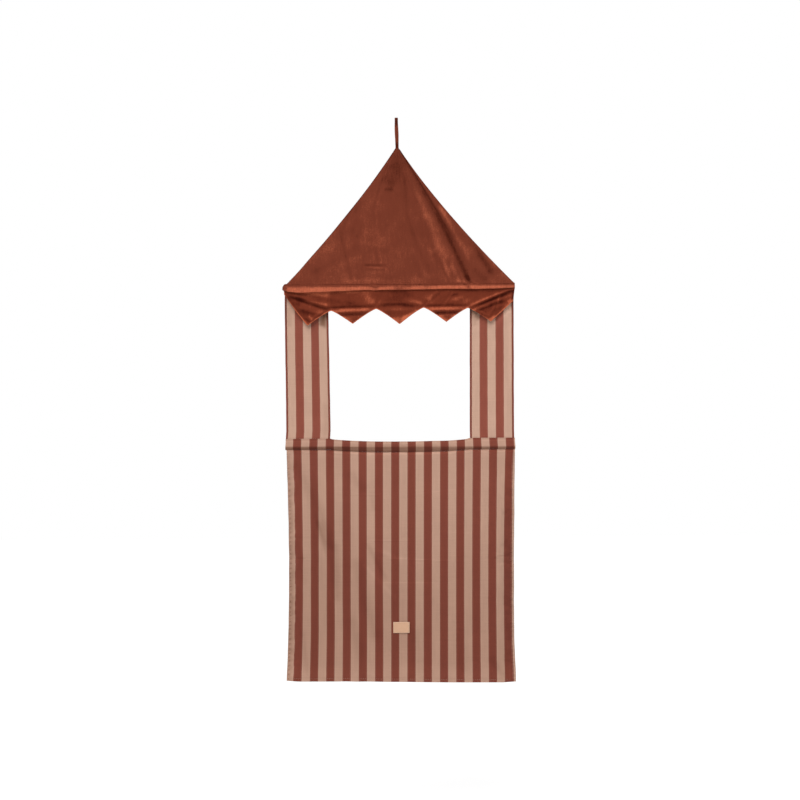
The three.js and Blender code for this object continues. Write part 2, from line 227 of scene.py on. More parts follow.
def bumpOf(tree, height, distance, strength=1, under=None):
    sockets = {"Height": height, "Distance": distance, "Strength": strength}
    if under:
        sockets["Normal"] = under
    return addNode(tree, "ShaderNodeBump", sockets).outputs[0]


def newMaterial(name):
    material = bpy.data.materials.new(name)
    material.use_nodes = True
    return material, material.node_tree, material.node_tree.nodes["Principled BSDF"]


# a cloth's own flat metres, and how much its tone and painted shade lighten or darken it
def clothOf(tree):
    toneAndShade = addNode(tree, "ShaderNodeAttribute", attribute_name="toneAndShade")
    return addNode(tree, "ShaderNodeUVMap", uv_map="cloth").outputs[0], toneAndShade.outputs["Fac"]


velvetLook = {
    "roof": {"dark": (70, 24, 12), "middle": (117, 55, 38), "light": (196, 104, 74)},
    "valance": {"dark": (64, 17, 8), "middle": (115, 50, 32), "light": (198, 103, 71)},
    "patchSize": 0.07,
    "streaks": (150, 34, 1),
    "streakTurn": 0.5,
    "mottleSize": 0.0042,
    "pileScale": 1500,
    # how strongly patches, streaks, mottle and pile each lighten or darken the cloth, and the tone marks with their
    # painted shade and highlights
    "weights": (0.3, 0.3, 0.38, 0.14),
    "toneAndShadeWeight": 0.5,
    "wrinkleDepth": 0.0006,
    "pileDepth": 0.0003,
    "sheen": 0.05,
    "sheenRoughness": 0.45,
    "sheenTint": (255, 170, 135),
    "roughness": 0.8,
    "specular": 0.05,
}


# velvet: a short pile that lies lighter and darker in patches, with brushed streaks along the cloth, and the painted
# shade and highlights of its marks
def makeVelvet(name, colours):
    look = velvetLook
    material, tree, shader = newMaterial(name)
    cloth, toneAndShade = clothOf(tree)
    patches = noiseOf(tree, cloth, 1 / look["patchSize"], 4, 0.6)
    streaks = noiseOf(tree, stretched(tree, cloth, look["streaks"], look["streakTurn"]), 1, 4, 0.65)
    mottle = noiseOf(tree, cloth, 1 / look["mottleSize"], 3, 0.7)
    pile = noiseOf(tree, cloth, look["pileScale"], 2, 0.7)
    pileAndShade = layered(tree, 0.5, (patches, streaks, mottle, pile), look["weights"])
    pileAndShade = calc(tree, "MULTIPLY_ADD", toneAndShade, look["toneAndShadeWeight"], pileAndShade, clamp=True)
    ramp = addNode(tree, "ShaderNodeValToRGB", {"Fac": pileAndShade})
    ramp.color_ramp.interpolation = "EASE"
    ramp.color_ramp.elements[0].color = shade(*colours["dark"])
    ramp.color_ramp.elements[1].color = shade(*colours["light"])
    ramp.color_ramp.elements.new(0.5).color = shade(*colours["middle"])
    soft = bumpOf(tree, noiseOf(tree, cloth, 60, 4, 0.55), look["wrinkleDepth"])
    plug(tree, shader, {
        "Base Color": ramp.outputs[0],
        "Normal": bumpOf(tree, pile, look["pileDepth"], 0.6, soft),
        "Roughness": look["roughness"],
        "Specular IOR Level": look["specular"],
        "Sheen Weight": look["sheen"],
        "Sheen Roughness": look["sheenRoughness"],
        "Sheen Tint": shade(*look["sheenTint"]),
    })
    return material


cottonLook = {
    # each cloth's colours, how far in from its left edge the first red stripe starts, and the width of a pair
    "front": {"beige": (190, 151, 131), "red": (127, 65, 51), "start": 21.2 * mm, "pair": 50.4 * mm},
    "counter": {"beige": (190, 151, 131), "red": (127, 65, 51), "start": 23.5 * mm, "pair": 50.5 * mm},
    # the side panels are the same canvas in lighter colours: painted light, for the light shining through them from
    # behind
    "sides": {"beige": (202, 163, 142), "red": (144, 77, 62), "start": places["panelHalf"] - 37.5 * mm,
              "pair": 50 * mm},
    "softEdge": 0.0006,
    "raggedEdge": 0.0006,
    "selvedge": (214, 170, 150),
    "selvedgeShare": 0.13,
    "warp": (520, 7, 1),
    "weft": (9, 600, 1),
    # how strongly warp, weft and stains each lighten or darken the cloth, and the tone marks with their painted
    # shade
    "weights": (0.2, 0.2, 0.14),
    "toneAndShadeWeight": 0.4,
    # how much more green and blue the deep shade takes away than red
    "warmth": (0.05, 0.087),
    "thread": 0.0011,
    "threadDepth": 0.0003,
    "creaseDepth": 0.0011,
    "roughness": 0.88,
    "specular": 0.15,
    "sheen": 0.04,
}


# striped canvas in which two sets of threads cross
def makeStripes(name, stripes):
    look = cottonLook
    material, tree, shader = newMaterial(name)
    cloth, toneAndShade = clothOf(tree)
    across = addNode(tree, "ShaderNodeSeparateXYZ", {0: cloth})
    x, y = across.outputs[0], across.outputs[1]
    x = calc(tree, "MULTIPLY_ADD", noiseOf(tree, stretched(tree, cloth, (1, 900, 1)), 1, 1), look["raggedEdge"], x)
    turn = calc(tree, "MULTIPLY", calc(tree, "SUBTRACT", x, stripes["start"]), 2 * math.pi / stripes["pair"])
    wave = calc(tree, "SINE", turn)
    sharp = stripes["pair"] / (math.pi * look["softEdge"])
    red = calc(tree, "MULTIPLY_ADD", wave, sharp, 0.5, clamp=True)
    colour = mixColour(tree, red, shade(*stripes["beige"]), shade(*stripes["red"]))
    border = calc(tree, "SUBTRACT", calc(tree, "ABSOLUTE", wave), 0.3)
    border = calc(tree, "SUBTRACT", 1, calc(tree, "MULTIPLY", calc(tree, "ABSOLUTE", border), 9), clamp=True)
    border = calc(tree, "MULTIPLY", border, look["selvedgeShare"])
    colour = mixColour(tree, border, colour, shade(*look["selvedge"]))
    warp, weft = (noiseOf(tree, stretched(tree, cloth, look[way]), 1, 3, 0.65) for way in ("warp", "weft"))
    light = layered(tree, 1, (warp, weft, noiseOf(tree, cloth, 7, 4, 0.6)), look["weights"])
    light = calc(tree, "MULTIPLY_ADD", toneAndShade, look["toneAndShadeWeight"], light)
    deep = calc(tree, "MINIMUM", toneAndShade, 0)
    light = joined(tree, light, *(calc(tree, "MULTIPLY_ADD", deep, warmth, light) for warmth in look["warmth"]))
    turns = 2 * math.pi / look["thread"]
    weave = calc(tree, "MULTIPLY", *(calc(tree, "SINE", calc(tree, "MULTIPLY", way, turns)) for way in (x, y)))
    slub = calc(tree, "ADD", calc(tree, "MULTIPLY", weave, 0.35), calc(tree, "ADD", warp, weft))
    soft = bumpOf(tree, noiseOf(tree, cloth, 28, 5, 0.6), look["creaseDepth"])
    plug(tree, shader, {
        "Base Color": mixColour(tree, 1.0, colour, light, "MULTIPLY"),
        "Normal": bumpOf(tree, slub, look["threadDepth"], 0.7, soft),
        "Roughness": look["roughness"],
        "Specular IOR Level": look["specular"],
        "Sheen Weight": look["sheen"],
    })
    return material


tapeLook = {
    "binding": ((112, 54, 42), (148, 82, 67)),
    "lining": ((104, 50, 38), (122, 62, 48)),
    "rib": 0.0016,
    "ribTurn": 52,
    "ribDepth": 0.0003,
    "roughness": 0.85,
    "specular": 0.15,
}


# twill: slanted ribs on a plain dark red
def makeTape(name, colours):
    look = tapeLook
    material, tree, shader = newMaterial(name)
    cloth, toneAndShade = clothOf(tree)
    ribs = addNode(tree, "ShaderNodeTexWave", {
        "Vector": stretched(tree, cloth, (1, 1, 1), math.radians(look["ribTurn"])),
        "Scale": 0.314 / look["rib"],
        "Distortion": 1.5,
        "Detail": 1,
        "Detail Scale": 3,
    }).outputs["Fac"]
    worn = noiseOf(tree, cloth, 45, 3, 0.6)
    share = calc(tree, "MULTIPLY_ADD", ribs, 0.5, calc(tree, "MULTIPLY", worn, 0.5))
    # the marks' painted shade darkens the tape
    lit = calc(tree, "MULTIPLY_ADD", toneAndShade, 0.5, 1)
    colour = mixColour(tree, share, *(shade(*colour) for colour in colours))
    plug(tree, shader, {
        "Base Color": mixColour(tree, 1.0, colour, joined(tree, lit, lit, lit), "MULTIPLY"),
        "Normal": bumpOf(tree, ribs, look["ribDepth"], 0.7),
        "Roughness": look["roughness"],
        "Specular IOR Level": look["specular"],
    })
    return material


pineLook = {
    "light": (226, 196, 150),
    "dark": (190, 148, 98),
    "ringSize": 0.0042,
    "poreDepth": 0.0002,
    "roughness": 0.55,
}


# pine dowel: grain lines drawn out along X, with fine darker pores
def makePine():
    look = pineLook
    material, tree, shader = newMaterial("pine")
    place = addNode(tree, "ShaderNodeTexCoord").outputs["Object"]
    bent = noiseOf(tree, stretched(tree, place, (3, 60, 60)), 1, 3, 0.5)
    rings = addNode(tree, "ShaderNodeTexWave", {
        "Vector": stretched(tree, place, (0.02, 1, 1)),
        "Scale": 0.314 / look["ringSize"],
        "Distortion": 4,
        "Detail": 2,
        "Detail Scale": 0.6,
    }, wave_type="BANDS", bands_direction="DIAGONAL")
    pores = noiseOf(tree, stretched(tree, place, (40, 1500, 1500)), 1, 2, 0.6)
    share = calc(tree, "MULTIPLY_ADD", rings.outputs["Fac"], 0.45, calc(tree, "MULTIPLY", bent, 0.4))
    share = calc(tree, "MULTIPLY_ADD", pores, 0.3, calc(tree, "SUBTRACT", share, 0.1), clamp=True)
    plug(tree, shader, {
        "Base Color": mixColour(tree, share, shade(*look["light"]), shade(*look["dark"])),
        "Roughness": calc(tree, "MULTIPLY_ADD", pores, 0.2, look["roughness"] - 0.1),
        "Normal": bumpOf(tree, pores, look["poreDepth"], 0.5),
    })
    return material


leatherLook = {
    "face": (214, 173, 143),
    "pit": (188, 143, 112),
    "edge": (232, 198, 168),
    "pebbleScale": 900,
    "pebbleDepth": 0.0002,
    "roughness": 0.5,
    "specular": 0.3,
}


# vegetable-tanned leather, pebbled, paler along its cut edge
def makeLeather():
    look = leatherLook
    material, tree, shader = newMaterial("tan_leather")
    place = addNode(tree, "ShaderNodeTexCoord").outputs["Object"]
    rim = addNode(tree, "ShaderNodeAttribute", attribute_name="toneAndShade").outputs["Fac"]
    pebbles = addNode(tree, "ShaderNodeTexVoronoi", {"Vector": place, "Scale": look["pebbleScale"]})
    pebbles = pebbles.outputs["Distance"]
    clouds = calc(tree, "MULTIPLY", noiseOf(tree, place, 90, 4, 0.6), 0.5)
    share = calc(tree, "MULTIPLY_ADD", pebbles, 0.35, clouds, clamp=True)
    colour = mixColour(tree, share, shade(*look["face"]), shade(*look["pit"]))
    plug(tree, shader, {
        "Base Color": mixColour(tree, rim, colour, shade(*look["edge"])),
        "Normal": bumpOf(tree, pebbles, look["pebbleDepth"], 0.6),
        "Roughness": look["roughness"],
        "Specular IOR Level": look["specular"],
    })
    return material


threadLook = {
    "dark": (92, 40, 32),
    "pale": (206, 172, 152),
    "twistScale": 2600,
    "twistDepth": 0.0002,
    "roughness": 0.7,
    "specular": 0.2,
}


# sewing thread, twisted along each stitch
def makeThread(name, colour):
    look = threadLook
    material, tree, shader = newMaterial(name)
    place = addNode(tree, "ShaderNodeTexCoord").outputs["Object"]
    twist = noiseOf(tree, place, look["twistScale"], 2, 0.6)
    shaded = tuple(value * 0.6 for value in colour)
    plug(tree, shader, {
        "Base Color": mixColour(tree, twist, shade(*shaded), shade(*colour)),
        "Normal": bumpOf(tree, twist, look["twistDepth"], 0.6),
        "Roughness": look["roughness"],
        "Specular IOR Level": look["specular"],
    })
    return material


roofVelvet = makeVelvet("rust_velvet", velvetLook["roof"])
valanceVelvet = makeVelvet("rust_velvet_deep", velvetLook["valance"])
frontStripes = makeStripes("striped_canvas_front", cottonLook["front"])
counterStripes = makeStripes("striped_canvas_counter", cottonLook["counter"])
panelStripes = makeStripes("striped_canvas_sides", cottonLook["sides"])
tape = makeTape("binding_twill", tapeLook["binding"])
lining = makeTape("valance_lining_cotton", tapeLook["lining"])
pine = makePine()
leather = makeLeather()
darkThread = makeThread("dark_thread", threadLook["dark"])
paleThread = makeThread("pale_thread", threadLook["pale"])
print("materials made")


def finishPiece(name, mesh, material, thickness=0):
    data = bpy.data.meshes.new(name)
    mesh.to_mesh(data)
    mesh.free()
    data.materials.append(material)
    data.polygons.foreach_set("use_smooth", [True] * len(data.polygons))
    piece = bpy.data.objects.new(name, data)
    bpy.context.scene.collection.objects.link(piece)
    if thickness:
        shell = piece.modifiers.new("cloth thickness", "SOLIDIFY")
        shell.thickness = thickness
        shell.offset = -1
        shell.use_even_offset = False
    return piece


# shares with one more close inside each end, so that the cut edge's shading stays at the edge
def edged(places, length):
    close = min(0.2 * mm / length, 0.01)
    low, high = min(places), max(places)
    inner = [share for share in places if low + 1.5 * close < share < high - 1.5 * close]
    ends = [low, low + close], [high - close, high]
    if places[0] > places[-1]:
        return [high, high - close] + inner + [low + close, low]
    return ends[0] + inner + ends[1]


# a sheet of cloth on a grid: place(u, v) is its outer face, u from left to right and v from top to bottom,
# marks(u, v) is how much its tone and painted shade lighten or darken it, and the UV map holds the flat cloth's
# metres, from lay(u, v)
def makeSheet(name, us, vs, flat, place, thickness, material, marks=None, closed=False, lay=None):
    us = edged(us, flat[0])
    vs = vs if closed else edged(vs, flat[1])
    mesh = bmesh.new()
    bmesh.ops.create_grid(mesh, x_segments=len(us) - 1, y_segments=len(vs) - 1, size=0.5)
    cloth = mesh.loops.layers.uv.new("cloth")
    toneAndShade = mesh.verts.layers.float.new("toneAndShade")
    for vert in mesh.verts:
        u = us[round((vert.co.x + 0.5) * (len(us) - 1))]
        v = vs[round((0.5 - vert.co.y) * (len(vs) - 1))]
        for loop in vert.link_loops:
            loop[cloth].uv = lay(u, v) if lay else (u * flat[0], v * flat[1])
        vert[toneAndShade] = marks(u, v) if marks else 0
        vert.co = place(u, v)
    if closed:
        bmesh.ops.remove_doubles(mesh, verts=mesh.verts, dist=0.01 * mm)
    return finishPiece(name, mesh, material, thickness)


# a row of stitches: each (middle, direction, outward) is a short rounded thread, half sunk in the cloth
def makeStitches(name, spots, values, material):
    shape = bmesh.new()
    bmesh.ops.create_uvsphere(shape, u_segments=6, v_segments=4, radius=1)
    points = [vert.co.copy() for vert in shape.verts]
    faces = [[vert.index for vert in face.verts] for face in shape.faces]
    shape.free()
    radius = values["stitchRadius"] * mm
    size = Matrix.Diagonal((values["stitchLength"] * mm / 2, radius, radius))
    verts, rings = [], []
    for middle, direction, outward in spots:
        along = Vector(direction).normalized()
        side = along.cross(Vector(outward)).normalized()
        turn = Matrix((along, side, along.cross(side))).transposed() @ size
        rings += [[len(verts) + k for k in face] for face in faces]
        verts += [Vector(middle) + turn @ point for point in points]
    data = bpy.data.meshes.new(name)
    data.from_pydata(verts, [], rings)
    data.polygons.foreach_set("use_smooth", [True] * len(rings))
    data.materials.append(material)
    row = bpy.data.objects.new(name, data)
    bpy.context.scene.collection.objects.link(row)
    return row


# shares with extra ones crowded into the last rim metres of a length, for a turned edge
def rimmed(count, length, rim, steps):
    inner = [k / count * (1 - rim / length) for k in range(count + 1)]
    return inner + [1 - rim / length * (1 - math.sin(math.pi / 2 * k / steps)) for k in range(1, steps + 1)]


# how far a turned edge has curved back, at a distance inside the edge
def turnedBack(distance, rim):
    inside = min(max(distance / rim, 0), 1)
    return rim * (1 - math.sqrt(max(0, 1 - (1 - inside) ** 2)))


loopValues = {
    "width": 9.6,
    "flatWidth": 10,
    "thickness": 1.4,
    "strandGap": 0.4,
    "eyeWidth": 9,
    "cup": 0.3,
    "sewnIn": 4,
    "twist": 12,
    "sway": 0.4,
    "lean": (-3.7, -5.6),
    "rows": 150,
}


# the strap: up from between the roof cloths, round the hook and down again, in one length
def makeLoopStrap():
    values = loopValues
    half = values["thickness"] * mm / 2
    strandFoot = values["strandGap"] * mm / 2 + half
    crown = values["eyeWidth"] * mm / 2 + half
    crownZ = places["loopTop"] - half - crown
    foot = places["tailFoot"] + values["sewnIn"] * mm
    neck = places["apexZ"]
    straight = crownZ - foot
    length = 2 * straight + math.pi * crown

    def middle(distance):
        if distance < straight or distance > length - straight:
            up = min(distance, length - distance)
            z = foot + up
            spread = mix(strandFoot, crown, smooth((z - neck) / (crownZ - neck)))
            return (spread if distance < straight else -spread), z, 0
        turn = (distance - straight) / crown
        return crown * math.cos(turn), crownZ + crown * math.sin(turn), turn

    def place(u, v):
        y, z, turn = middle(v * length)
        side = 1 if v * length < straight + math.pi * crown / 2 else -1
        outY, outZ = (math.cos(turn), math.sin(turn)) if z > crownZ else (side, 0)
        free = min(max((z - neck) / (crownZ - neck), 0), 1)
        twist = math.radians(values["twist"]) * math.sin(math.pi * free) ** 2
        sway = values["sway"] * mm * math.sin(2 * math.pi * free) * free + mix(*values["lean"], free) * mm
        reach = half - values["cup"] * mm * (2 * u - 1) ** 2
        x = (u - 0.5) * values["width"] * mm
        y += outY * reach
        return (x * math.cos(twist) - y * math.sin(twist) + sway,
                x * math.sin(twist) + y * math.cos(twist), z + outZ * reach)

    # the grid runs down the strap with its face outward: u across from left, v from the back strand
    def marks(u, v):
        # painted highlight along the strap's edges, and darker near both its ends
        rim = 0.5 * smooth((abs(2 * u - 1) - 0.78) / 0.2)
        free = (middle(v * length)[1] - neck) / (crownZ - neck)
        ends = smooth((free - 0.7) / 0.2) + 1 - smooth((free - 0.12) / 0.2)
        return rim - 0.75 * min(ends, 1) + 0.25 * drift(u, v * length, 0.02)

    flat = (values["flatWidth"] * mm, length)
    vs = shares(values["rows"])
    strap = makeSheet("hanging_strap", [1 - u for u in shares(10)], vs, flat, place, 2 * half, roofVelvet, marks)
    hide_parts("hanging_loop", "loop_tail")
    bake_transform(strap)
    print("strap made")


roofValues = {
    "apexWidth": 9.5,
    "hollow": 16.5,
    "shift": (-3.7, 3.5),
    "seamHalfGap": 0.15,
    "thickness": 1.6,
    "bulge": 9,
    "backBulge": 7,
    "foldDepth": 11,
    "footFold": 1.2,
    "footOffset": 2.5,
    "frontFootOffset": 7.4,
    "footShare": 0.62,
    # how much further in the right edge runs, and how the left edge wanders from its curve
    "rightIn": 1.9,
    "leftIn": (-1.2, 2.6),
    "tailHalf": 1.9,
    "tailLength": 38,
    "rim": 1.75,
    # top share, foot share, width share, depth share of each fold from the apex to the eave
    "folds": (
        (0.48, 0.56, 0.085, 1.0),
        (0.84, 0.62, 0.05, -0.9),
        (0.96, 0.73, 0.05, 0.42),
        (1.1, 0.86, 0.045, -0.42),
        (0.1, 0.28, 0.06, -0.22),
        (-0.75, -0.18, 0.05, -0.16),
        (-1.5, -0.38, 0.05, -0.22),
    ),
    "backFolds": (
        (-0.6, -0.5, 0.13, 0.5),
        (0.15, 0.05, 0.12, -0.3),
        (0.7, 0.55, 0.13, 0.45),
    ),
    # short folds and creases: x and drop below the apex
    "creases": strokes((
        (70, 205, 100, 398, 6, 8, -2.2), (84, 205, 112, 398, 6, 8, 1.9), (110, 340, 142, 418, 5, 6, -2.2),
        (123, 340, 154, 418, 5, 6, 2.0), (166, 345, 206, 428, 5, 5, 2.8), (180, 345, 218, 428, 5, 5, -2.8),
        (214, 225, 282, 400, 7, 9, 1.9), (230, 235, 298, 410, 7, 9, -2.0), (-182, 253, -139, 412, 3, 4, -1.2),
        (-176, 253, -132, 412, 3, 4, 0.9), (-72, 215, -66, 352, 3, 4, -1.1), (-62, 352, -25, 398, 4, 5, -1.2),
        (-108, 371, -50, 373, 3, 3, -1.6), (-100, 380, -48, 382, 3, 3, 1.0), (-20, 60, -58, 150, 6, 8, -0.9),
        (-140, 300, -40, 318, 9, 12, 0.8), (-260, 380, -180, 340, 10, 14, 0.9), (16, 250, 52, 420, 10, 12, -1.2),
    )),
    # painted shade and highlights on the folds and creases, and patches of brushed nap: x, drop, x, drop, half
    # widths, thousandths
    "shadeMarks": strokes((
        # the long valley down the right side, and the shorter one beside it
        (40, 62, 75, 133, 9, 10, -260), (75, 133, 117, 205, 10, 10, -520), (117, 205, 152, 278, 10, 11, -800),
        (152, 278, 187, 361, 11, 11, -860), (187, 361, 213, 420, 11, 9, -860), (204, 404, 224, 436, 5, 4.5, -700),
        (188, 398, 208, 436, 4, 4, 300), (220, 276, 246, 330, 10, 12, -420), (246, 330, 282, 398, 13, 14, -520),
        (228, 384, 270, 420, 15, 14, -360), (272, 388, 302, 418, 7, 7, -200),
        # faint lines down the middle
        (20, 90, 26, 207, 5, 6, -260), (26, 207, 54, 310, 6, 8, -280), (54, 310, 96, 400, 9, 10, -260),
        (42, 340, 62, 408, 10, 10, -260), (76, 220, 104, 318, 9, 9, -220),
        # light beside the valleys
        (22, 60, 56, 120, 8, 14, 240), (56, 120, 76, 200, 16, 16, 270), (76, 200, 112, 300, 17, 14, 260),
        (114, 300, 146, 352, 11, 9, 300), (134, 352, 158, 420, 7, 7, 240), (160, 372, 184, 425, 7, 7, 300),
        (128, 180, 168, 262, 9, 9, 340), (168, 262, 216, 356, 9, 9, 120), (188, 270, 236, 330, 9, 9, -160),
        (236, 330, 306, 398, 16, 14, -260), (262, 330, 300, 384, 6, 6, 260), (170, 420, 200, 424, 5, 5, 200),
        # painted shade in the left side's creases, and brushed patches
        (-42, 90, -14, 124, 16, 12, -260), (-8, 16, -8, 120, 18, 34, -220), (-42, 131, -14, 133, 6, 7, -480),
        (-122, 222, -150, 270, 10, 12, -260), (-112, 240, -130, 284, 6, 8, -200),
        (-112, 165, -158, 228, 14, 16, -300), (-236, 352, -270, 396, 16, 18, -260),
        (-182, 262, -152, 412, 4, 5, -360), (-130, 322, -222, 356, 12, 16, -200),
        (-72, 330, -66, 372, 5, 5, -300), (-108, 371, -46, 374, 4, 4, -620), (-104, 262, -46, 320, 22, 22, 160),
        (-176, 420, -60, 418, 9, 9, 200), (-42, 244, -30, 244, 8, 8, -220), (-136, 276, -134, 324, 12, 12, -200),
        (-300, 405, -180, 410, 8, 8, 60), (-90, 60, -120, 110, 9, 9, -160), (-200, 300, -240, 330, 12, 12, 120),
        (-160, 380, -120, 340, 26, 24, 120), (-60, 420, 60, 420, 10, 10, 120),
    )),
    "grid": (190, 116),
    "backGrid": (120, 80),
    "areaShare": 0.51,
}


def roofHalf(v):
    values = roofValues
    foot = places["eaveHalf"] - 1.5 * mm
    top = values["apexWidth"] * mm / 2
    return top + (foot - top) * v - values["hollow"] * mm * 4 * v * (1 - v)


def roofDrop(v):
    return (places["apexZ"] - places["eaveZ"]) * v


def roofRelief(u, v, isFront):
    values = roofValues
    folds = values["folds"] if isFront else values["backFolds"]
    growth = math.sqrt(v) * (1 - v ** 5) * values["foldDepth"] + v ** 5 * values["footFold"]
    raised = sum(depth * hump(u - mix(top, foot, v), width) for top, foot, width, depth in folds)
    x, drop = u * roofHalf(v), roofDrop(v)
    fine = foldHeight(x, drop, values["creases"]) if isFront else 0
    fade = 1 - smooth((v - 0.93) / 0.07)
    soft = 0.9 * mm * drift(x, drop, 0.06, 3) + 0.35 * mm * drift(x, drop, 0.022, 7)
    return growth * mm * raised + fine * mix(0.35, 1, fade) + soft * v * fade


def roofOut(u, v, isFront):
    values = roofValues
    tailShare = values["tailLength"] * mm / (places["apexZ"] - places["eaveZ"])
    opened = values["tailHalf"] * mm * (1 - smooth((v - tailShare) / tailShare))
    offset = values["frontFootOffset" if isFront else "footOffset"] * mm
    foot = offset * smooth((v - values["footShare"]) / (1 - values["footShare"]))
    gap = values["seamHalfGap"] * mm
    bulge = values["bulge" if isFront else "backBulge"] * mm
    raised = max(opened, foot, gap) + bulge * (1 - u * u) * math.sin(math.pi * v ** 0.8)
    return max(raised + roofRelief(u, v, isFront), gap)


def makeRoofCloth(name, node, isFront):
    values = roofValues
    columns, rows = values["grid" if isFront else "backGrid"]
    rim = values["rim"] * mm
    thickness = values["thickness"] * mm
    side = rimmed(columns // 2, places["valanceHalf"], 3 * rim, 6)
    us = [-u for u in reversed(side[1:])] + side

    def place(u, v):
        if not isFront:
            u = -u
        half = roofHalf(v)
        bottom = places["eaveZ"] + sleeveRadius() + 0.1 * mm
        z = mix(places["apexZ"], bottom, v)
        inside = (1 - abs(u)) * half
        reach = mix(rim, 4 * rim if isFront else rim, smooth((v - 0.85) / 0.12))
        out = roofOut(u, v, isFront) + thickness
        edge = mix(values["seamHalfGap"] * mm, out, math.sqrt(max(0, 1 - (1 - min(inside / reach, 1)) ** 2)))
        x = u * half + mix(*values["shift"], v) * mm
        if x > 0:
            x -= u * values["rightIn"] * mm * smooth(v / 0.25)
        else:
            low, foot = values["leftIn"]
            x -= u * mm * (low * hump(v - 0.5, 0.14) + foot * smooth((v - 0.78) / 0.14))
        return (x, -edge if isFront else edge, z)

    def marks(u, v):
        # painted shade and highlights: along the folds and creases, along the rolled edges, from the slope, and
        # darker near the apex
        x, drop = u * roofHalf(v), roofDrop(v)
        pileAndShade = foldHeight(x, drop, values["shadeMarks"]) if isFront else 0
        seamShading = (-0.9 if u < 0 else -0.3) * (1 - smooth((1 - abs(u)) * roofHalf(v) / (4 * mm)))

        def height(x, drop):
            v = min(max(drop / roofDrop(1), 0.01), 1)
            return roofOut(min(max(x / roofHalf(v), -1), 1), v, isFront)

        slope = shadeFromSlope(height, x, drop, 3 * mm) * smooth((1 - v) / 0.06)
        fade = -0.3 * (1 - smooth(v / 0.55)) + 0.1 * smooth(v) + 0.12 * drift(x, drop, 0.05, 5)
        return pileAndShade + seamShading + slope + fade

    flat = (2 * places["valanceHalf"], places["apexZ"] - places["eaveZ"])
    cloth = makeSheet(name, us, shares(rows), flat, place, thickness, roofVelvet, marks,
                      lay=lambda u, v: (u * roofHalf(v), roofDrop(v)))
    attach(cloth, "roof")
    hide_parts(node)


sleeveValues = {
    "thickness": 1.6,
    "gap": 0.5,
    "leftReach": 3.6,
    "nose": 11,
    "noseDrop": 5,
    "noseReach": 9,
    "perPoint": 4,
    "columns": 300,
    "flatHeight": 75,
    # x, the height over the rod's axis where the roll starts, the drop of its lower lip, how far the lip stands out,
    # and the painted highlight along it
    "band": (
        (-362, 4, 8, 3, 60), (-352, 3.4, 11, 4.4, 120), (-341, 2.8, 14.2, 5.6, 600), (-305, 2.0, 17.0, 6.8, 640),
        (-250, 1.9, 15.2, 6.2, 640), (-180, 2.0, 12.8, 5.4, 620), (-128, 2.4, 10.6, 4.6, 600),
        (-104, 2.4, 9.4, 3.8, 600), (-86, 0.8, 10.4, 2.8, 560), (-72, -2.4, 11.4, 1.8, 480),
        (-56, 2.2, 9.8, 4.2, 620), (-28, 2.6, 9.6, 4.2, 580), (0, 2.2, 9.7, 3.6, 160), (24, 1.6, 9.5, 3.0, 420),
        (50, 2.8, 8.9, 4.0, 600), (76, 3.2, 8.8, 4.2, 600), (84, 2.8, 8.4, 3.4, 500), (96, 3.6, 8.2, 4.2, 620),
        (155, 4.4, 7.4, 5.0, 640), (200, 4.2, 8.0, 5.0, 600), (214, 4, 8.6, 3.2, 260), (230, 3.8, 8.4, 5.0, 620),
        (290, 3.8, 7.2, 4.6, 620), (345, 4.2, 5.4, 4.0, 560), (358, 4.6, 4.6, 3.4, 360),
    ),
    # slanting pinches across the roll: x at its top, x at its lip, half width and height
    "pinches": (
        (196, 212, 5, 1.6), (204, 220, 4, -2.0), (-84, -70, 5, -1.2), (-72, -56, 6, 1.0), (70, 84, 4, -1.2),
        (24, 34, 5, -0.8), (-214, -206, 6, 0.5), (130, 138, 6, -0.4), (300, 310, 8, 0.4),
    ),
}


def sleeveRadius():
    return places["rodRadius"] + (sleeveValues["gap"] + sleeveValues["thickness"]) * mm


def bandDrop(x):
    return lookUp(sleeveValues["band"], x)[1]


# points of a closed curve that runs smoothly through the given points, count steps between each two
def smoothRing(points, count):
    ring = []
    for k in range(len(points)):
        p0, p1, p2, p3 = (points[(k + j - 1) % len(points)] for j in range(4))
        for step in range(count):
            t = step / count
            ring.append([0.5 * (2 * b + (c - a) * t + (2 * a - 5 * b + 4 * c - d) * t ** 2
                                + (3 * b - a - 3 * c + d) * t ** 3) for a, b, c, d in zip(p0, p1, p2, p3)])
    return ring + ring[:1]


# the sleeve's section at x, as how far each point lies to the front and over the rod's axis: flat under
# the roof cloth, rolled out below it, and round the rod behind
def sleeveSection(x):
    values = sleeveValues
    radius = sleeveRadius()
    top, drop, reach = lookUp(values["band"], x)[:3]
    front = (roofValues["frontFootOffset"] + roofValues["thickness"]) * mm
    face = max(front, radius) + 1.2 * mm
    low = max(radius, drop - 0.6 * mm)
    deep = easeIn(drop, 9, 4)
    points = [
        (0, radius), (front - 1.7 * mm, radius), (front - 0.05 * mm, radius - 0.05 * mm),
        (front + 0.05 * mm, 0.94 * radius),
        (face - 0.3 * mm, top), (face + 0.45 * reach, mix(top, -drop, 0.4)), (face + reach, 2.6 * mm - drop),
        (face + reach, 1.0 * mm - drop), (face + reach - 1.2 * mm, -drop), (10.4 * mm, 1.9 * mm - drop),
        (8.7 * mm, 0.8 * mm - drop), (mix(6.5, 4.5, deep) * mm, mix(-7.4 * mm, -low, deep)), (0, -low),
        (-0.7 * radius, -0.72 * low), (-radius, 0), (-0.72 * radius, 0.72 * radius),
    ]
    ring = smoothRing(points, values["perPoint"])
    for k, (y, z) in enumerate(ring):
        if 3 * values["perPoint"] < k < 8 * values["perPoint"]:
            share = (top - z) / (top + drop)
            y += sum(height * mm * hump(x - mix(x0, x1, share) * mm, width * mm)
                     for x0, x1, width, height in values["pinches"])
            y += 0.3 * mm * drift(x, z, 0.014, 4)
        push = radius / math.hypot(y, z)
        ring[k] = (y * push, z * push) if push > 1 else (y, z)
    return ring


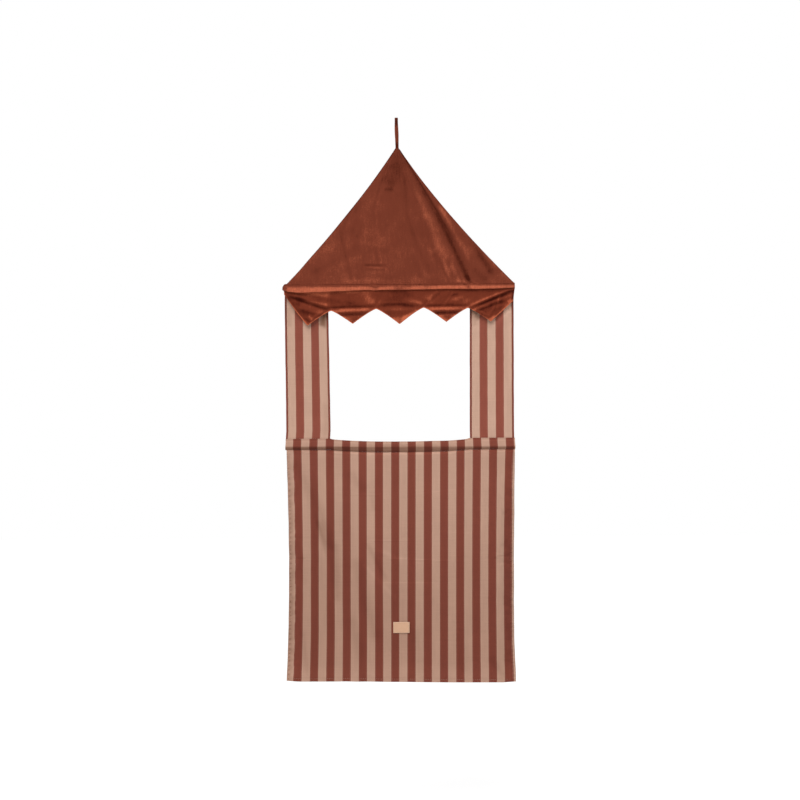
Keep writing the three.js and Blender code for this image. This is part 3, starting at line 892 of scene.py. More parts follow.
def makeEaveSleeve():
    values = sleeveValues
    left, right = -places["eaveHalf"] - values["leftReach"] * mm, places["eaveHalf"]
    nose = values["nose"] * mm
    length = right - left
    sections = {}
    count = 16 * values["perPoint"]

    def section(u):
        if u not in sections:
            sections[u] = sleeveSection(mix(left, right, u))
        return sections[u]

    def place(u, v):
        x = mix(left, right, u)
        closing = math.sqrt(max(0, 1 - (1 - min((x - left) / nose, 1)) ** 2))
        y, z = section(u)[round(v * count)]
        sunk = values["noseDrop"] * mm * max(0, 1 - (x - left) / (values["noseReach"] * mm)) ** 1.5
        return (x, -y * closing, places["eaveZ"] + z * closing - sunk)

    def marks(u, v):
        # painted highlight along the roll, and painted shade under it
        x = mix(left, right, u)
        light = lookUp(values["band"], x)[3]
        point = v * 16
        roll = smooth((point - 3.6) / 1.2) * (1 - smooth((point - 7.0) / 1.0))
        under = smooth((point - 7.2) / 1) * (1 - smooth((point - 11) / 1))
        return light * roll - 0.25 * under + 0.1 * (1 - roll) + 0.14 * drift(x, v, 0.02, 8)

    flat = (length, values["flatHeight"] * mm)
    ends = [k / 7 * nose / length for k in range(7)]
    body = [mix(nose / length, 1, share) for share in shares(values["columns"])]
    cloth = makeSheet("eave_sleeve_cloth", ends + body, shares(count), flat, place, values["thickness"] * mm,
                      roofVelvet, marks, closed=True)
    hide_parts("eave_sleeve")
    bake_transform(cloth)
    print("eave sleeve made")


rodValues = {"chamfer": 0.9, "sides": 48}


def makeRod(name, node, body, ends, height):
    values = rodValues
    radius = places["rodRadius"]
    chamfer = values["chamfer"] * mm
    mesh = bmesh.new()
    profile = ((ends[0], 0), (ends[0], radius - chamfer), (ends[0] + chamfer, radius), (ends[1] - chamfer, radius),
               (ends[1], radius - chamfer), (ends[1], 0))
    verts = [mesh.verts.new((x, 0, r)) for x, r in profile]
    edges = [mesh.edges.new(pair) for pair in zip(verts, verts[1:])]
    bmesh.ops.spin(mesh, geom=verts + edges, cent=(0, 0, 0), axis=(1, 0, 0), angle=2 * math.pi,
                   steps=values["sides"], use_merge=True)
    bmesh.ops.remove_doubles(mesh, verts=mesh.verts, dist=0.01 * mm)
    bmesh.ops.recalc_face_normals(mesh, faces=mesh.faces)
    bmesh.ops.translate(mesh, verts=mesh.verts, vec=(0, 0, height))
    rod = finishPiece(name, mesh, pine)
    rod.data.set_sharp_from_angle(angle=math.radians(30))
    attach(rod, body)
    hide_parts(node)


valanceValues = {
    "teeth": 5,
    "columnsPerTooth": 56,
    "rows": 34,
    "thickness": 1.6,
    "liningThickness": 0.9,
    "layerGap": 0.3,
    "liningTop": 10.2,
    "liningInset": 2.2,
    "flatHeight": 112,
    "areaShare": 0.72,
    "front": 10.4,
    "lean": 1.8,
    "rim": 1.75,
    "flare": 3.6,
    # each tip and each notch in turn, from left to right: its x and how far below the eave it lies
    "edge": ((-283.4, 118), (-210.2, 72.6), (-143.8, 113.3), (-71.2, 67.4), (0.9, 115), (75.3, 64.2), (145.1, 109.1),
             (211.9, 66.2), (282.3, 108.8)),
    "tipPower": 1.2,
    "leftRise": 50,
    "rightRise": 23,
    # folds in the valance: x, drop, x, drop, half widths, how far they stand out
    "folds": strokes((
        # the ledge over each middle tooth, with the hollow above and below it
        (-212, 65, -86, 62, 5, 5, -2.6), (-206, 77, -86, 74, 6.5, 6.5, 3.4), (-180, 89, -112, 87, 5, 5, -1.6),
        (-62, 60, 62, 59, 6, 6, -1.6), (-58, 72, 60, 71, 7, 7, 1.6), (82, 61, 205, 60, 5, 5, -2.8),
        (84, 73, 203, 72, 6.5, 6.5, 3.4), (108, 84, 178, 83, 5, 5, -2.0),
        # folds that fan from the left corner to the first notch
        (-330, 34, -222, 71, 7, 7, -4.4), (-326, 26, -219, 60, 7, 8, 3.6), (-300, 22, -222, 42, 6, 6, -1.2),
        (-316, 62, -240, 84, 7, 7, 2.4), (-330, 56, -290, 108, 8, 8, -1.6), (-278, 88, -262, 102, 4, 4, 2.4),
        (-290, 98, -276, 110, 3, 3, -2.2), (-262, 92, -236, 78, 4, 4, 1.2),
        # folds that fan from the right corner to the last notch
        (342, 10, 222, 61, 4, 6, 3.0), (346, 20, 228, 69, 6, 6, -4.0), (312, 40, 232, 67, 5, 5, 2.6),
        (322, 50, 240, 78, 6, 6, -3.0), (300, 50, 276, 96, 4, 5, 2.0), (332, 40, 300, 98, 7, 7, -1.8),
        (236, 74, 276, 92, 3, 4, 1.6), (250, 88, 258, 78, 2, 2, 1.0), (340, 60, 330, 76, 5, 5, 1.8),
        # soft slanting folds in the upper cloth
        (122, 14, 84, 46, 7, 8, 1.5), (132, 16, 96, 48, 6, 6, -1.0), (170, 16, 142, 56, 4, 5, 0.8),
        (162, 16, 134, 56, 4, 5, -0.8), (200, 34, 156, 48, 8, 9, 1.9), (30, 38, 72, 58, 9, 7, 1.7),
        (-214, 16, -214, 68, 3, 3, 1.1), (-222, 16, -222, 68, 4, 4, 1.4), (-160, 20, -150, 50, 10, 10, 1.0),
        (-20, 14, 24, 24, 12, 14, -1.4), (-112, 24, -82, 58, 12, 9, 1.5), (-60, 28, -70, 60, 8, 6, -1.2),
        (-70, 62, -56, 46, 4, 6, 0.9), (76, 58, 86, 44, 3, 4, -1.3),
    )),
    # painted shade and highlights, as on the roof
    "shadeMarks": strokes((
        # the left corner's fan
        (-328, 26, -219, 61, 6, 8, 300), (-306, 42, -222, 71, 5, 5, -420), (-342, 24, -304, 54, 14, 16, -380),
        (-330, 15, -110, 14, 6, 6, 560), (-288, 22, -206, 27, 7, 8, 420), (-316, 31, -234, 43, 6, 6, -560),
        (-282, 44, -214, 58, 5, 8, 330), (-226, 42, -180, 44, 8, 8, -260), (-190, 50, -120, 50, 8, 8, -260),
        (-344, 30, -330, 60, 9, 9, -300), (-110, 30, -70, 60, 14, 11, 220), (-272, 74, -246, 76, 4, 4, 240),
        (-318, 44, -286, 84, 13, 15, -260), (-280, 89, -268, 100, 3.5, 4, 900), (-286, 99, -277, 108, 3, 3, -420),
        (-296, 62, -262, 84, 20, 18, -220),
        # the ledges and the shade under them
        (-214, 64, -84, 60, 4, 4, -300), (-192, 76, -86, 73, 6.5, 6.5, 300), (-206, 66, -184, 70, 5, 5, -420),
        (-176, 87, -116, 85, 5, 5, -220), (-170, 90, -146, 106, 8, 7, 420), (-62, 61, 66, 60, 7, 7, -340),
        (-56, 73, 24, 72, 5, 5, 240), (-34, 86, 22, 85, 8, 8, -240), (22, 73, 56, 72, 5, 5, 160),
        (-24, 102, 22, 102, 13, 13, 620), (12, 97, 56, 76, 9, 7, 800), (84, 60, 206, 59, 4, 4, -240),
        (88, 72.5, 202, 71.5, 6.5, 6.5, 320), (108, 82, 176, 81, 4, 4, -320), (122, 92, 146, 108, 8, 8, 760),
        (146, 106, 172, 88, 6, 6, 300),
        # the dark middle and the soft patches left and right of it
        (-30, 20, 44, 30, 15, 17, -420), (-40, 34, 20, 44, 12, 12, -200), (-46, 52, 30, 53, 4, 4, -420),
        (10, 60, 46, 61, 5, 5, -420), (22, 42, 74, 58, 8, 7, 260), (-32, 26, -20, 30, 6, 6, 300),
        (-96, 20, -78, 50, 12, 12, 220), (84, 20, 100, 50, 10, 10, 160), (34, 40, 72, 56, 8, 7, 260),
        (-210, 24, -204, 60, 8, 9, -200), (-190, 22, -180, 52, 8, 8, 120), (-160, 24, -150, 56, 9, 9, -160),
        (-70, 22, -60, 40, 8, 8, -160), (130, 24, 110, 50, 8, 8, -160), (160, 40, 218, 43, 9, 10, 300),
        (154, 28, 186, 24, 5, 5, -460), (190, 14, 330, 13, 5, 5, -340), (164, 53, 206, 53, 5, 5, 240),
        (224, 16, 280, 20, 8, 8, -140), (106, 22, 92, 46, 5, 5, 200),
        # the right corner's fan
        (300, 26, 216, 62, 5, 6, 300), (346, 18, 232, 68, 5, 7, -260), (314, 34, 250, 58, 9, 9, -220),
        (270, 58, 228, 66, 4, 4, 300), (290, 66, 250, 80, 5, 6, -260), (300, 50, 286, 84, 2.5, 3, 260),
        (316, 60, 240, 78, 14, 13, -480), (274, 102, 296, 96, 7, 7, 640), (224, 72, 276, 57, 4, 5, 480),
        (310, 28, 301, 62, 3, 3, 460), (320, 30, 312, 58, 5, 5, -260), (334, 47, 348, 43, 7, 7, 560),
        (256, 76, 262, 88, 2, 2, 300), (288, 101, 348, 54, 6, 8, 380), (350, 14, 351, 42, 4, 4, -900),
    )),
}


def valanceEdge(x):
    values = valanceValues
    points = values["edge"]
    for k in range(len(points) - 1):
        x0, x1 = points[k][0] * mm, points[k + 1][0] * mm
        if x0 <= x <= x1:
            share = (x - x0) / (x1 - x0)
            tip, notch = (points[k], points[k + 1]) if k % 2 == 0 else (points[k + 1], points[k])
            risen = 1 - share if k % 2 == 0 else share
            return mix(notch[1], tip[1], risen ** values["tipPower"]) * mm
    end, near = (points[0], points[1]) if x < 0 else (points[-1], points[-2])
    beyond = min((abs(x) - abs(end[0]) * mm) / (places["valanceHalf"] - abs(end[0]) * mm), 1)
    rise = values["leftRise" if x < 0 else "rightRise"]
    bow = 4 * mm * math.sin(math.pi * beyond) if x < 0 else 0
    return mix(end[1], near[1] - rise, beyond) * mm + bow


# how far the valance's outer face lies in front of the rod's axis
def valanceForward(x, drop):
    values = valanceValues
    top = bandDrop(x)
    share = (drop - top) / (110 * mm - top)
    soft = 0.7 * mm * drift(x, drop, 0.035, 21) + 0.3 * mm * drift(x, drop, 0.013, 23)
    fade = smooth((drop - top) / (9 * mm))
    folded = foldHeight(x, drop, values["folds"], 0.2) + soft
    return (values["front"] + values["lean"] * share) * mm + folded * fade


def valanceColumns():
    values = valanceValues
    count = values["teeth"] * values["columnsPerTooth"]
    half = places["valanceHalf"]
    spread = [(2 * share - 1) * places["eaveHalf"] for share in shares(count)]
    rim = [half - 1.2 * mm, half - 0.5 * mm, half - 0.15 * mm, half]
    inside = [x for x in spread if abs(x) < half - 1.8 * mm]
    return [-x for x in reversed(rim)] + inside + rim


def makeValanceLayer(name, node, thickness, behind, topGap, material, marks, inset):
    values = valanceValues
    half = places["valanceHalf"]
    rim = values["rim"] * mm

    def place(u, v):
        x = (2 * u - 1) * half
        bottom = valanceEdge(x) - inset
        drop = mix(max(bandDrop(x) - 0.6 * mm, topGap), bottom, v)
        out = valanceForward(x, drop) - behind
        edge = min((valanceEdge(x) - drop) * 0.83, half - abs(x))
        back = 0 if inset else turnedBack(max(edge, 0), rim)
        flared = smooth((abs(x) / half - 0.75) / 0.25) * (1 - smooth(drop / (42 * mm)))
        wide = x * (1 - inset / half) + math.copysign(values["flare"] * mm, x) * flared
        return (wide, -out + back, places["eaveZ"] - drop)

    us = [(x / half + 1) / 2 for x in valanceColumns()]
    vs = rimmed(values["rows"], 80 * mm, 2 * rim, 6)
    flat = (2 * half, values["flatHeight"] * mm)
    cloth = makeSheet(name, us, vs, flat, place, thickness, material, marks)
    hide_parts(node)
    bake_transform(cloth)
    return cloth


def makeValance():
    values = valanceValues
    half = places["valanceHalf"]

    def marks(u, v):
        x = (2 * u - 1) * half
        top, bottom = bandDrop(x), valanceEdge(x)
        drop = mix(top, bottom, v)
        slanted = 0.58 if x < -0.283 else 0.73 if x > 0.283 else 0.83
        edge = min((bottom - drop) * slanted, half - abs(x))
        pileAndShade = foldHeight(x, drop, values["shadeMarks"], 0.2)
        # rim paints a highlight along the cut edges, weaker by the right corner and near the top, and under paints
        # the shade just below the band
        wide = 3.4 * mm if x < -0.283 else 2.4 * mm
        dimmed = 0.5 * smooth((x - 0.2) / 0.02) * smooth((0.283 - x) / 0.01)
        rim = (1.05 - dimmed) * (1 - smooth((edge - 0.9 * mm) / wide))
        rim *= 1 - 0.5 * (1 - easeIn(drop, 30, 20))
        under = -0.12 * (1 - smooth((drop - top) / (6 * mm)))
        slope = shadeFromSlope(valanceForward, x, drop)
        return pileAndShade + rim + under + slope + 0.16 * drift(x, drop, 0.03, 31) - 0.05

    front = makeValanceLayer("valance_velvet", "valance_front", values["thickness"] * mm, 0, 0, valanceVelvet,
                             marks, 0)
    behind = (values["thickness"] + values["layerGap"]) * mm
    back = makeValanceLayer("valance_backing", "valance_lining", values["liningThickness"] * mm, behind,
                            values["liningTop"] * mm, lining, None, values["liningInset"] * mm)
    print("valance made")


panelValues = {
    "thickness": 0.8,
    "wave": 2.4,
    "binding": 6,
    "tape": 0.6,
    "columns": 44,
    "rows": 150,
    "stitchLength": 2.6,
    "stitchPitch": 4.4,
    "stitchRadius": 0.35,
    # each side's lean of the foot and taper, how light the whole cloth lies, the painted shadow on its two tapes
    # just under the valance, and its folds and its painted shadows and light: x from the panel's middle and drop
    # below the panel's top
    "left": {
        "lean": 2.6,
        "taper": 2.6,
        "even": -0.1,
        "tapeShade": {"inner": -1.3, "outer": -0.7},
        "folds": strokes((
            (-55, 60, -20, 150, 8, 9, 1.6), (-40, 60, 0, 150, 8, 10, -1.2), (-50, 180, -28, 240, 5, 5, -1.4),
            (-58, 232, 58, 236, 2, 2, -0.6), (20, 250, 34, 400, 14, 16, -1.6), (44, 20, 52, 70, 7, 7, -1.2),
            (-20, 300, -10, 440, 12, 12, 1.0), (-62, 120, -10, 260, 5, 6, 0.9), (-54, 126, 0, 266, 5, 6, -0.9),
        )),
        "shadeMarks": strokes((
            (54, 66, 46, 108, 9, 12, -1100), (62, 40, 64, 86, 6, 5, -700), (-30, 70, 20, 112, 9, 9, -200),
            (-56, 50, -54, 110, 9, 9, -300), (54, 70, 58, 116, 10, 10, -520), (56, 350, 56, 450, 12, 12, -200),
        )),
    },
    "right": {
        "lean": -0.8,
        "taper": 1.8,
        "even": -0.03,
        "tapeShade": {"inner": -1.3, "outer": -0.2},
        "folds": strokes((
            (-50, 30, -38, 120, 7, 9, -1.5), (30, 80, 10, 200, 9, 11, 1.3), (-30, 180, -12, 330, 12, 14, -1.2),
            (-58, 228, 58, 226, 2, 2, -0.5), (40, 260, 46, 420, 10, 12, 1.1),
        )),
        "shadeMarks": strokes((
            (-58, 62, -38, 90, 9, 8, -1100), (-64, 40, -64, 86, 6, 5, -700), (-20, 96, 4, 116, 8, 8, -100),
            (2, 112, 58, 60, 9, 9, 420), (40, 66, 62, 40, 9, 9, 420), (-58, 80, -54, 110, 8, 8, -300),
            (58, 60, 60, 290, 6, 6, 260), (-20, 110, -14, 200, 8, 8, -100),
        )),
    },
}


# the outer face of a side panel, x from its middle line and drop from its top, both in metres
def panelPoint(side, x, drop):
    values = panelValues[side]
    sign = -1 if side == "left" else 1
    halfWidth = places["sideHalf"]
    centre = sign * (places["sideOuter"] - halfWidth)
    height = places["stageHeight"]
    share = drop / height
    still = math.sin(math.pi * min(max(share, 0), 1))
    edge = 1 - (x / halfWidth) ** 2
    belly = panelValues["wave"] * mm * still * edge ** 2
    soft = foldHeight(x, drop, values["folds"]) + 0.5 * mm * drift(x, drop, 0.05, 41)
    soft *= min(4 * still, 1) * smooth(edge * 3)
    lean = values["lean"] * mm * (smooth(share) - 0.35) * min(6 * still, 1)
    ripple = 0.5 * mm * drift(x * 0.2, drop, 0.03, 43) * still
    ripple += sign * values["taper"] * mm * smooth((halfWidth - sign * x) / halfWidth - 1) * (1 - share)
    reach = 0.27 * mm * smooth((share - 0.98) / 0.02)
    return (centre + x + lean + ripple, -panelValues["thickness"] * mm / 2 - belly - soft,
            places["stageTop"] - drop - reach)


def makeBinding(side, edge, sign):
    values = panelValues
    halfWidth = places["sideHalf"]
    height = places["stageHeight"]
    arm = values["binding"] * mm
    clear = 0.3 * mm + values["tape"] * mm
    radius = clear + values["thickness"] * mm / 2
    flatArm = arm - radius
    length = 2 * flatArm + math.pi * radius

    # section from the front arm round the lip to the back arm, as (towards the lip, outward to the front)
    def section(share):
        distance = share * length
        if distance < flatArm:
            return (distance, radius)
        if distance > length - flatArm:
            return (length - distance, -radius)
        turn = (distance - flatArm) / radius
        return (flatArm + radius * math.sin(turn), radius * math.cos(turn))

    def place(u, v):
        out, front = section(u if sign > 0 else 1 - u)
        x = sign * (halfWidth - arm + out)
        point = Vector(panelPoint(side, x, v * height))
        point.y += values["thickness"] * mm / 2 - front
        return point

    def marks(u, v):
        # painted shadow just under the valance, and painted shade at the foot behind the counter sleeve
        shadow = values[side]["tapeShade"][edge] * hump(v * height - 60 * mm, 34 * mm)
        return shadow - 0.35 * hump((1 - v) * height, 4 * mm)

    flat = (length, height)
    name = side + "_" + edge + "_tape"
    us = sorted(set(shares(6) + [0.5 + (k - 6) / 24 for k in range(13)]))
    cloth = makeSheet(name, us, shares(values["rows"]), flat, place, values["tape"] * mm, tape, marks)
    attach(cloth, "stage")
    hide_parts(side + "_" + edge + "_binding")
    spots = []
    count = int(height / (values["stitchPitch"] * mm)) - 1
    for k in range(1, count):
        drop = k * values["stitchPitch"] * mm
        x = sign * (halfWidth - arm + 0.9 * mm)
        for face in (-1, 1):
            point = Vector(panelPoint(side, x, drop))
            point.y += values["thickness"] * mm / 2 + face * (radius + 0.02 * mm)
            lean = 0.5 if k % 2 else -0.5
            spots.append((point, (sign * lean, 0, 1), (0, face, 0)))
    row = makeStitches(name + "_stitches", spots, values, darkThread)
    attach(row, "stage")


def makeSidePanel(side):
    values = panelValues
    sign = -1 if side == "left" else 1
    halfWidth = places["panelHalf"]
    height = places["stageHeight"]
    flat = (2 * halfWidth, height)

    def place(u, v):
        return panelPoint(side, (u - 0.5) * 2 * halfWidth, v * height)

    def marks(u, v):
        # painted shadow under the valance and at the foot behind the counter sleeve, and the side's painted shadows
        # and light
        shadow = -0.2 * hump(v * height - 4 * mm, 30 * mm)
        foot = -0.35 * hump((1 - v) * height, 3 * mm)
        near = foldHeight((u - 0.5) * flat[0], v * height, values[side]["shadeMarks"])
        return values[side]["even"] + shadow + foot + near + 0.06 * drift(u * flat[0], v * height, 0.04, 47)

    cloth = makeSheet(side + "_striped_panel", shares(values["columns"]), shares(values["rows"]), flat, place,
                      values["thickness"] * mm, panelStripes, marks)
    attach(cloth, "stage")
    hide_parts(side + "_side_panel")
    makeBinding(side, "outer", sign)
    makeBinding(side, "inner", -sign)
    print(side, "side panel made")


counterValues = {
    "thickness": 0.8,
    "gap": 0.5,
    "rise": 26,
    "riseMiddle": 16.1,
    "rightLower": 1.4,
    "rightSlack": 1.2,
    "dropMiddle": 17,
    "ends": (-353.4, 355),
    "sagStep": 0.12,
    "foldTop": 1.3,
    "flatHeight": 88,
    "columns": 240,
}


def counterRadius():
    return places["rodRadius"] + (counterValues["gap"] + counterValues["thickness"]) * mm


# how far the window's edge has sunk, from 0 at the side panels to 1 in the middle
def counterSag(x):
    step = counterValues["sagStep"]
    inside = (places["sideInner"] - abs(x)) / (9 * mm)
    return (1 - step) * max(0, 1 - abs(x / places["sideInner"]) ** 2.6) + step * smooth(inside)


def counterTop(x):
    lower = counterValues["rightLower"] * mm * easeIn(x, 90, 70)
    lower *= smooth((places["sideInner"] - x) / (20 * mm))
    return mix(counterValues["rise"], counterValues["riseMiddle"], counterSag(x)) * mm - lower


def counterBottom(x):
    low = counterRadius() + counterValues["rightSlack"] * mm * easeIn(x, 130, 120)
    return mix(low, counterValues["dropMiddle"] * mm, counterSag(x))


def makeCounterSleeve():
    values = counterValues
    left, right = (end * mm for end in values["ends"])
    radius = counterRadius()
    fold = values["foldTop"] * mm

    # the section: a rounded fold on top, two nearly flat faces down to the rod, and the hollow below it
    def ring(u, v):
        x = mix(left, right, u)
        top, bottom = counterTop(x), counterBottom(x)
        back = v > 0.5
        share = 1 - v if back else v
        if share < 0.06:
            turn = share / 0.06 * math.pi / 2
            y, z = fold * math.sin(turn), top - fold + fold * math.cos(turn)
        elif share < 0.3:
            down = (share - 0.06) / 0.24
            y, z = mix(fold, radius, down ** 0.8), mix(top - fold, 0, down)
        else:
            turn = (share - 0.3) / 0.2 * math.pi / 2
            y, z = radius * math.cos(turn), -bottom * math.sin(turn)
        soft = 0.35 * mm * drift(x, z, 0.03, 51) * smooth(share / 0.1)
        wide = 1 + 0.0028 * hump(z + 2 * mm, 9 * mm)
        return (x * wide, (y + soft) if back else -(y + soft), places["counterZ"] + z)

    def marks(u, v):
        # painted shade on the sleeve's underside and under its sagging middle, a dark and a light line along the
        # fold, and darker overall and towards the left
        x = mix(left, right, u)
        share = min(v, 1 - v)
        rightward = easeIn(x, -200, 120)
        depth = 0.12 * rightward - 1.1 if v < 0.5 else -0.4
        under = depth * smooth((share - 0.25 - 0.028 * rightward) / 0.06)
        slack = -0.45 * smooth((share - 0.1) / 0.2) * counterSag(x) * (1 if v < 0.5 else 0)
        seamShading = -0.3 * hump(share - 0.07, 0.022) + 0.16 * hump(share - 0.125, 0.018)
        slack *= 1 - smooth((share - 0.285) / 0.07)
        leftward = easeIn(-x, -60, 90)
        return under + slack + seamShading - 0.13 - 0.06 * leftward + 0.07 * drift(x, v, 0.05, 53)

    flat = (right - left, values["flatHeight"] * mm)
    us = shares(values["columns"])
    vs = [k / 6 * 0.06 for k in range(6)] + [mix(0.06, 0.3, k / 10) for k in range(10)]
    vs += [mix(0.3, 0.5, k / 12) for k in range(12)]
    vs = vs + [0.5] + [1 - v for v in reversed(vs)]
    cloth = makeSheet("counter_sleeve_cloth", us, vs, flat, ring, values["thickness"] * mm, counterStripes, marks,
                      closed=True)
    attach(cloth, "stage")
    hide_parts("counter_sleeve")
    print("counter sleeve made")


frontValues = {
    "thickness": 0.8,
    "width": 706,
    "centre": 2,
    "lean": 4.5,
    "drawIn": (5.9, 3.6),
    "footFlare": 2.6,
    "curl": 22,
    "footCurlShare": 0.3,
    "foldDepth": 5,
    "foldReach": 0.8,
    "rim": 1.0,
    "hem": 12,
    # how far in each side's hem reaches before the edge is drawn out and curled, and the share of the width
    # that it stops short of the edge
    "hemReach": (10.8, 8.8),
    "hemEnd": 0.0016,
    "bottomHem": 14,
    "footTilt": 3.2,
    "footStep": 3.4,
    "columns": 196,
    "rows": 190,
    # top share, foot share, width share and depth share of the soft folds
    "folds": (
        (-0.86, -0.48, 0.06, -0.9),
        (-0.7, -0.38, 0.06, 0.7),
        (-0.45, -0.29, 0.06, -0.7),
        (-0.25, -0.12, 0.08, 0.6),
        (0.12, 0.04, 0.09, -0.35),
        (0.5, 0.42, 0.12, 0.3),
    ),
    # creases: x and drop below the counter's axis
    "creases": strokes((
        (-282, 60, -256, 190, 7, 9, -2.0), (-270, 60, -242, 190, 7, 9, 1.6), (-256, 190, -225, 310, 9, 10, -2.0),
        (-225, 310, -190, 600, 10, 14, -1.4), (-160, 340, -120, 690, 14, 16, -1.8),
        (-130, 340, -90, 690, 12, 14, 1.2), (-340, 40, -300, 120, 6, 6, 1.3), (20, 250, 34, 330, 10, 12, -1.0),
        (-60, 60, -40, 240, 12, 14, 0.9), (120, 60, 128, 300, 14, 16, -0.8), (300, 160, 330, 210, 7, 6, -1.3),
        (290, 330, 345, 344, 5, 4, 1.6), (300, 350, 345, 358, 5, 4, -1.4), (250, 80, 262, 260, 10, 12, 0.8),
        (318, 480, 345, 500, 6, 5, -1.2), (-345, 300, -322, 320, 5, 5, 1.2), (-345, 520, -322, 535, 5, 5, -1.0),
        (60, 480, 90, 700, 16, 18, 0.9),
        # where the cloth was folded in its bag
        (-160, 128, 30, 127, 1.6, 1.6, -0.55), (-60, 150, 60, 149, 1.6, 1.6, 0.4),
        (-120, 276, 60, 277, 1.6, 1.6, -0.6), (-250, 402, -40, 404, 1.6, 1.6, 0.45),
        (-20, 411, 240, 409, 1.6, 1.6, -0.5), (-60, 628, 120, 626, 1.6, 1.6, -0.6),
        (-340, 338, -300, 338, 1.6, 1.6, -0.5), (150, 338, 345, 340, 1.6, 1.6, -0.45),
        (180, 232, 340, 231, 1.6, 1.6, 0.4),
    )),
    # where the cloth lies in shade or catches light, and the lines where it was folded flat
    "shadeMarks": strokes((
        (-346, 60, -344, 730, 9, 9, -300), (-330, 36, -284, 121, 14, 15, -200),
        (-284, 121, -246, 220, 16, 18, -300), (-246, 220, -214, 310, 18, 20, -400),
        (-206, 300, -196, 470, 18, 16, -340), (-140, 340, -112, 461, 22, 22, -260),
        (-112, 461, -76, 590, 22, 20, -300), (-90, 121, -82, 183, 9, 9, -200), (-104, 290, -46, 400, 8, 8, -260),
        (-120, 350, -14, 461, 6, 6, 160), (-71, 306, 6, 340, 8, 8, 220), (-160, 66, -110, 121, 14, 14, -200),
        (278, 646, 322, 708, 12, 12, -260), (-262, 220, -232, 300, 7, 7, -260), (-228, 350, -222, 470, 6, 6, 160),
        (-154, 520, -120, 650, 18, 18, -160), (-268, 200, -232, 330, 5, 5, -200),
        (-322, 300, -300, 420, 8, 8, -160), (-90, 277, 60, 276, 1.6, 1.6, 240),
        (-30, 334, 140, 342, 1.8, 1.8, 280), (-60, 411, 100, 410, 1.6, 1.6, 180),
        (-210, 131, -60, 132, 1.6, 1.6, 200), (-210, 135, -60, 136, 1.6, 1.6, -180),
        (-90, 281, 60, 280, 1.6, 1.6, -180), (-30, 338, 140, 346, 1.6, 1.6, -180), (60, 130, 200, 118, 2, 2, 120),
        (120, 250, 240, 262, 2, 2, 120), (-340, 338, -300, 338, 1.6, 1.6, -300),
        (298, 332, 342, 329, 2.5, 2.5, -420), (318, 200, 340, 186, 5, 5, -240), (312, 300, 336, 284, 5, 5, -200),
        (-310, 560, -290, 700, 8, 8, -200), (40, 560, 60, 700, 20, 20, -140), (180, 560, 200, 700, 22, 22, -120),
        (350, 40, 350, 720, 4, 4, 520), (20, 330, 26, 372, 6, 6, 160),
    )),
    "puckerPitch": 13.5,
    "puckerDark": 0.75,
    "stitchLength": 3.2,
    "stitchPitch": 5.6,
    "stitchRadius": 0.4,
}


def frontLength():
    return places["counterZ"] - places["frontFoot"]


# a point of the front cloth: across from its middle, v from top to bottom, behind its front face
def frontPoint(across, v, behind=0):
    values = frontValues
    width = values["width"] * mm
    side = 0 if across < 0 else 1
    outer = min(abs(across) / (0.47 * width), 1.04) ** 2.5
    outer *= 1 - side * 0.6 * smooth((across - 0.46 * width) / (0.04 * width))
    drawn = values["drawIn"][side] * outer * max(0, math.sin(math.pi * min(v, 1) ** 1.15)) ** 0.9
    near = abs(across) / width
    flared = 1.45 * smooth((near - 0.465) / 0.03) if side > 0 else mix(0.3, 1, smooth((near - 0.44) / 0.05))
    drawn -= side * values["footFlare"] * flared * smooth((v - 0.8) / 0.18)
    drop = v * frontLength()
    wobble = 0.8 * mm * drift(across * 0.15, drop, 0.045, 61) * smooth(abs(across) / width * 4 - 1)
    x = across + values["centre"] * mm + (drawn if side == 0 else -drawn) * mm + wobble * min(8 * v, 1)
    x -= values["lean"] * mm * v
    inner = smooth((abs(across) - width / 2 + 40 * mm) / (25 * mm)) * smooth((width / 2 - abs(across)) / (6 * mm))
    x -= side * 2.4 * mm * inner * smooth(v * 10)
    x += (1 - side) * 1.0 * mm * smooth((v - 0.6) / 0.2) * smooth((0.45 - near) / 0.05) * smooth(near * 12)
    x += 0.9 * mm * math.sin(2 * math.pi * drop / (84 * mm) + 3 * drift(side, drop, 0.02, 68)) * inner * (1 - side)
    pair = 50 * mm
    curlStart = width / 2 - pair
    edge = max(0, (abs(across) - curlStart) / pair)
    curl = values["curl"] * mm * edge ** 2 * (math.sin(math.pi * min(v, 1)) + v * values["footCurlShare"])
    growth = math.sin(math.pi * min(v ** 0.6, 1) * values["foldReach"])
    u = 2 * across / width
    folds = sum(depth * hump(u - mix(top, foot, v), wide) for top, foot, wide, depth in values["folds"])
    fine = foldHeight(across, drop, values["creases"])
    soft = 0.9 * mm * drift(across, drop, 0.11, 63) + 0.35 * mm * drift(across, drop, 0.035, 65)
    quiet = smooth(v * 14)
    forward = values["foldDepth"] * mm * growth * folds + (fine + soft) * quiet
    top = places["counterZ"] - counterBottom(x) - 0.03 * mm
    foot = places["frontFoot"] - 1.2 * mm - values["footTilt"] * mm * (across / width)
    foot -= values["footStep"] * mm * easeIn(across, -180, 400)
    foot += 2 * mm * easeIn(abs(across), 310, 50)
    return Vector((x, curl - forward - values["thickness"] * mm / 2 + behind, mix(top, foot, v)))


def blendFront(piece):
    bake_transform(piece)


# a turned hem behind the front cloth, between two shares of its width and two of its height
def makeFrontHem(name, node, across, down, counts, flat):
    values = frontValues
    width = values["width"] * mm
    behind = (2 * values["thickness"] + 0.3) * mm

    # the hem's outer face looks to the back
    def place(u, v):
        return frontPoint((mix(across[1], across[0], u) - 0.5) * width, mix(*down, v), behind)

    def marks(u, v):
        return 0.05 * drift(u, v, 0.02, 71)

    def lay(u, v):
        return (mix(across[1], across[0], u) * width, mix(*down, v) * frontLength())

    cloth = makeSheet(name, shares(counts[0]), shares(counts[1]), flat, place, values["thickness"] * mm,
                      frontStripes, marks, lay=lay)
    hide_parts(node)
    blendFront(cloth)


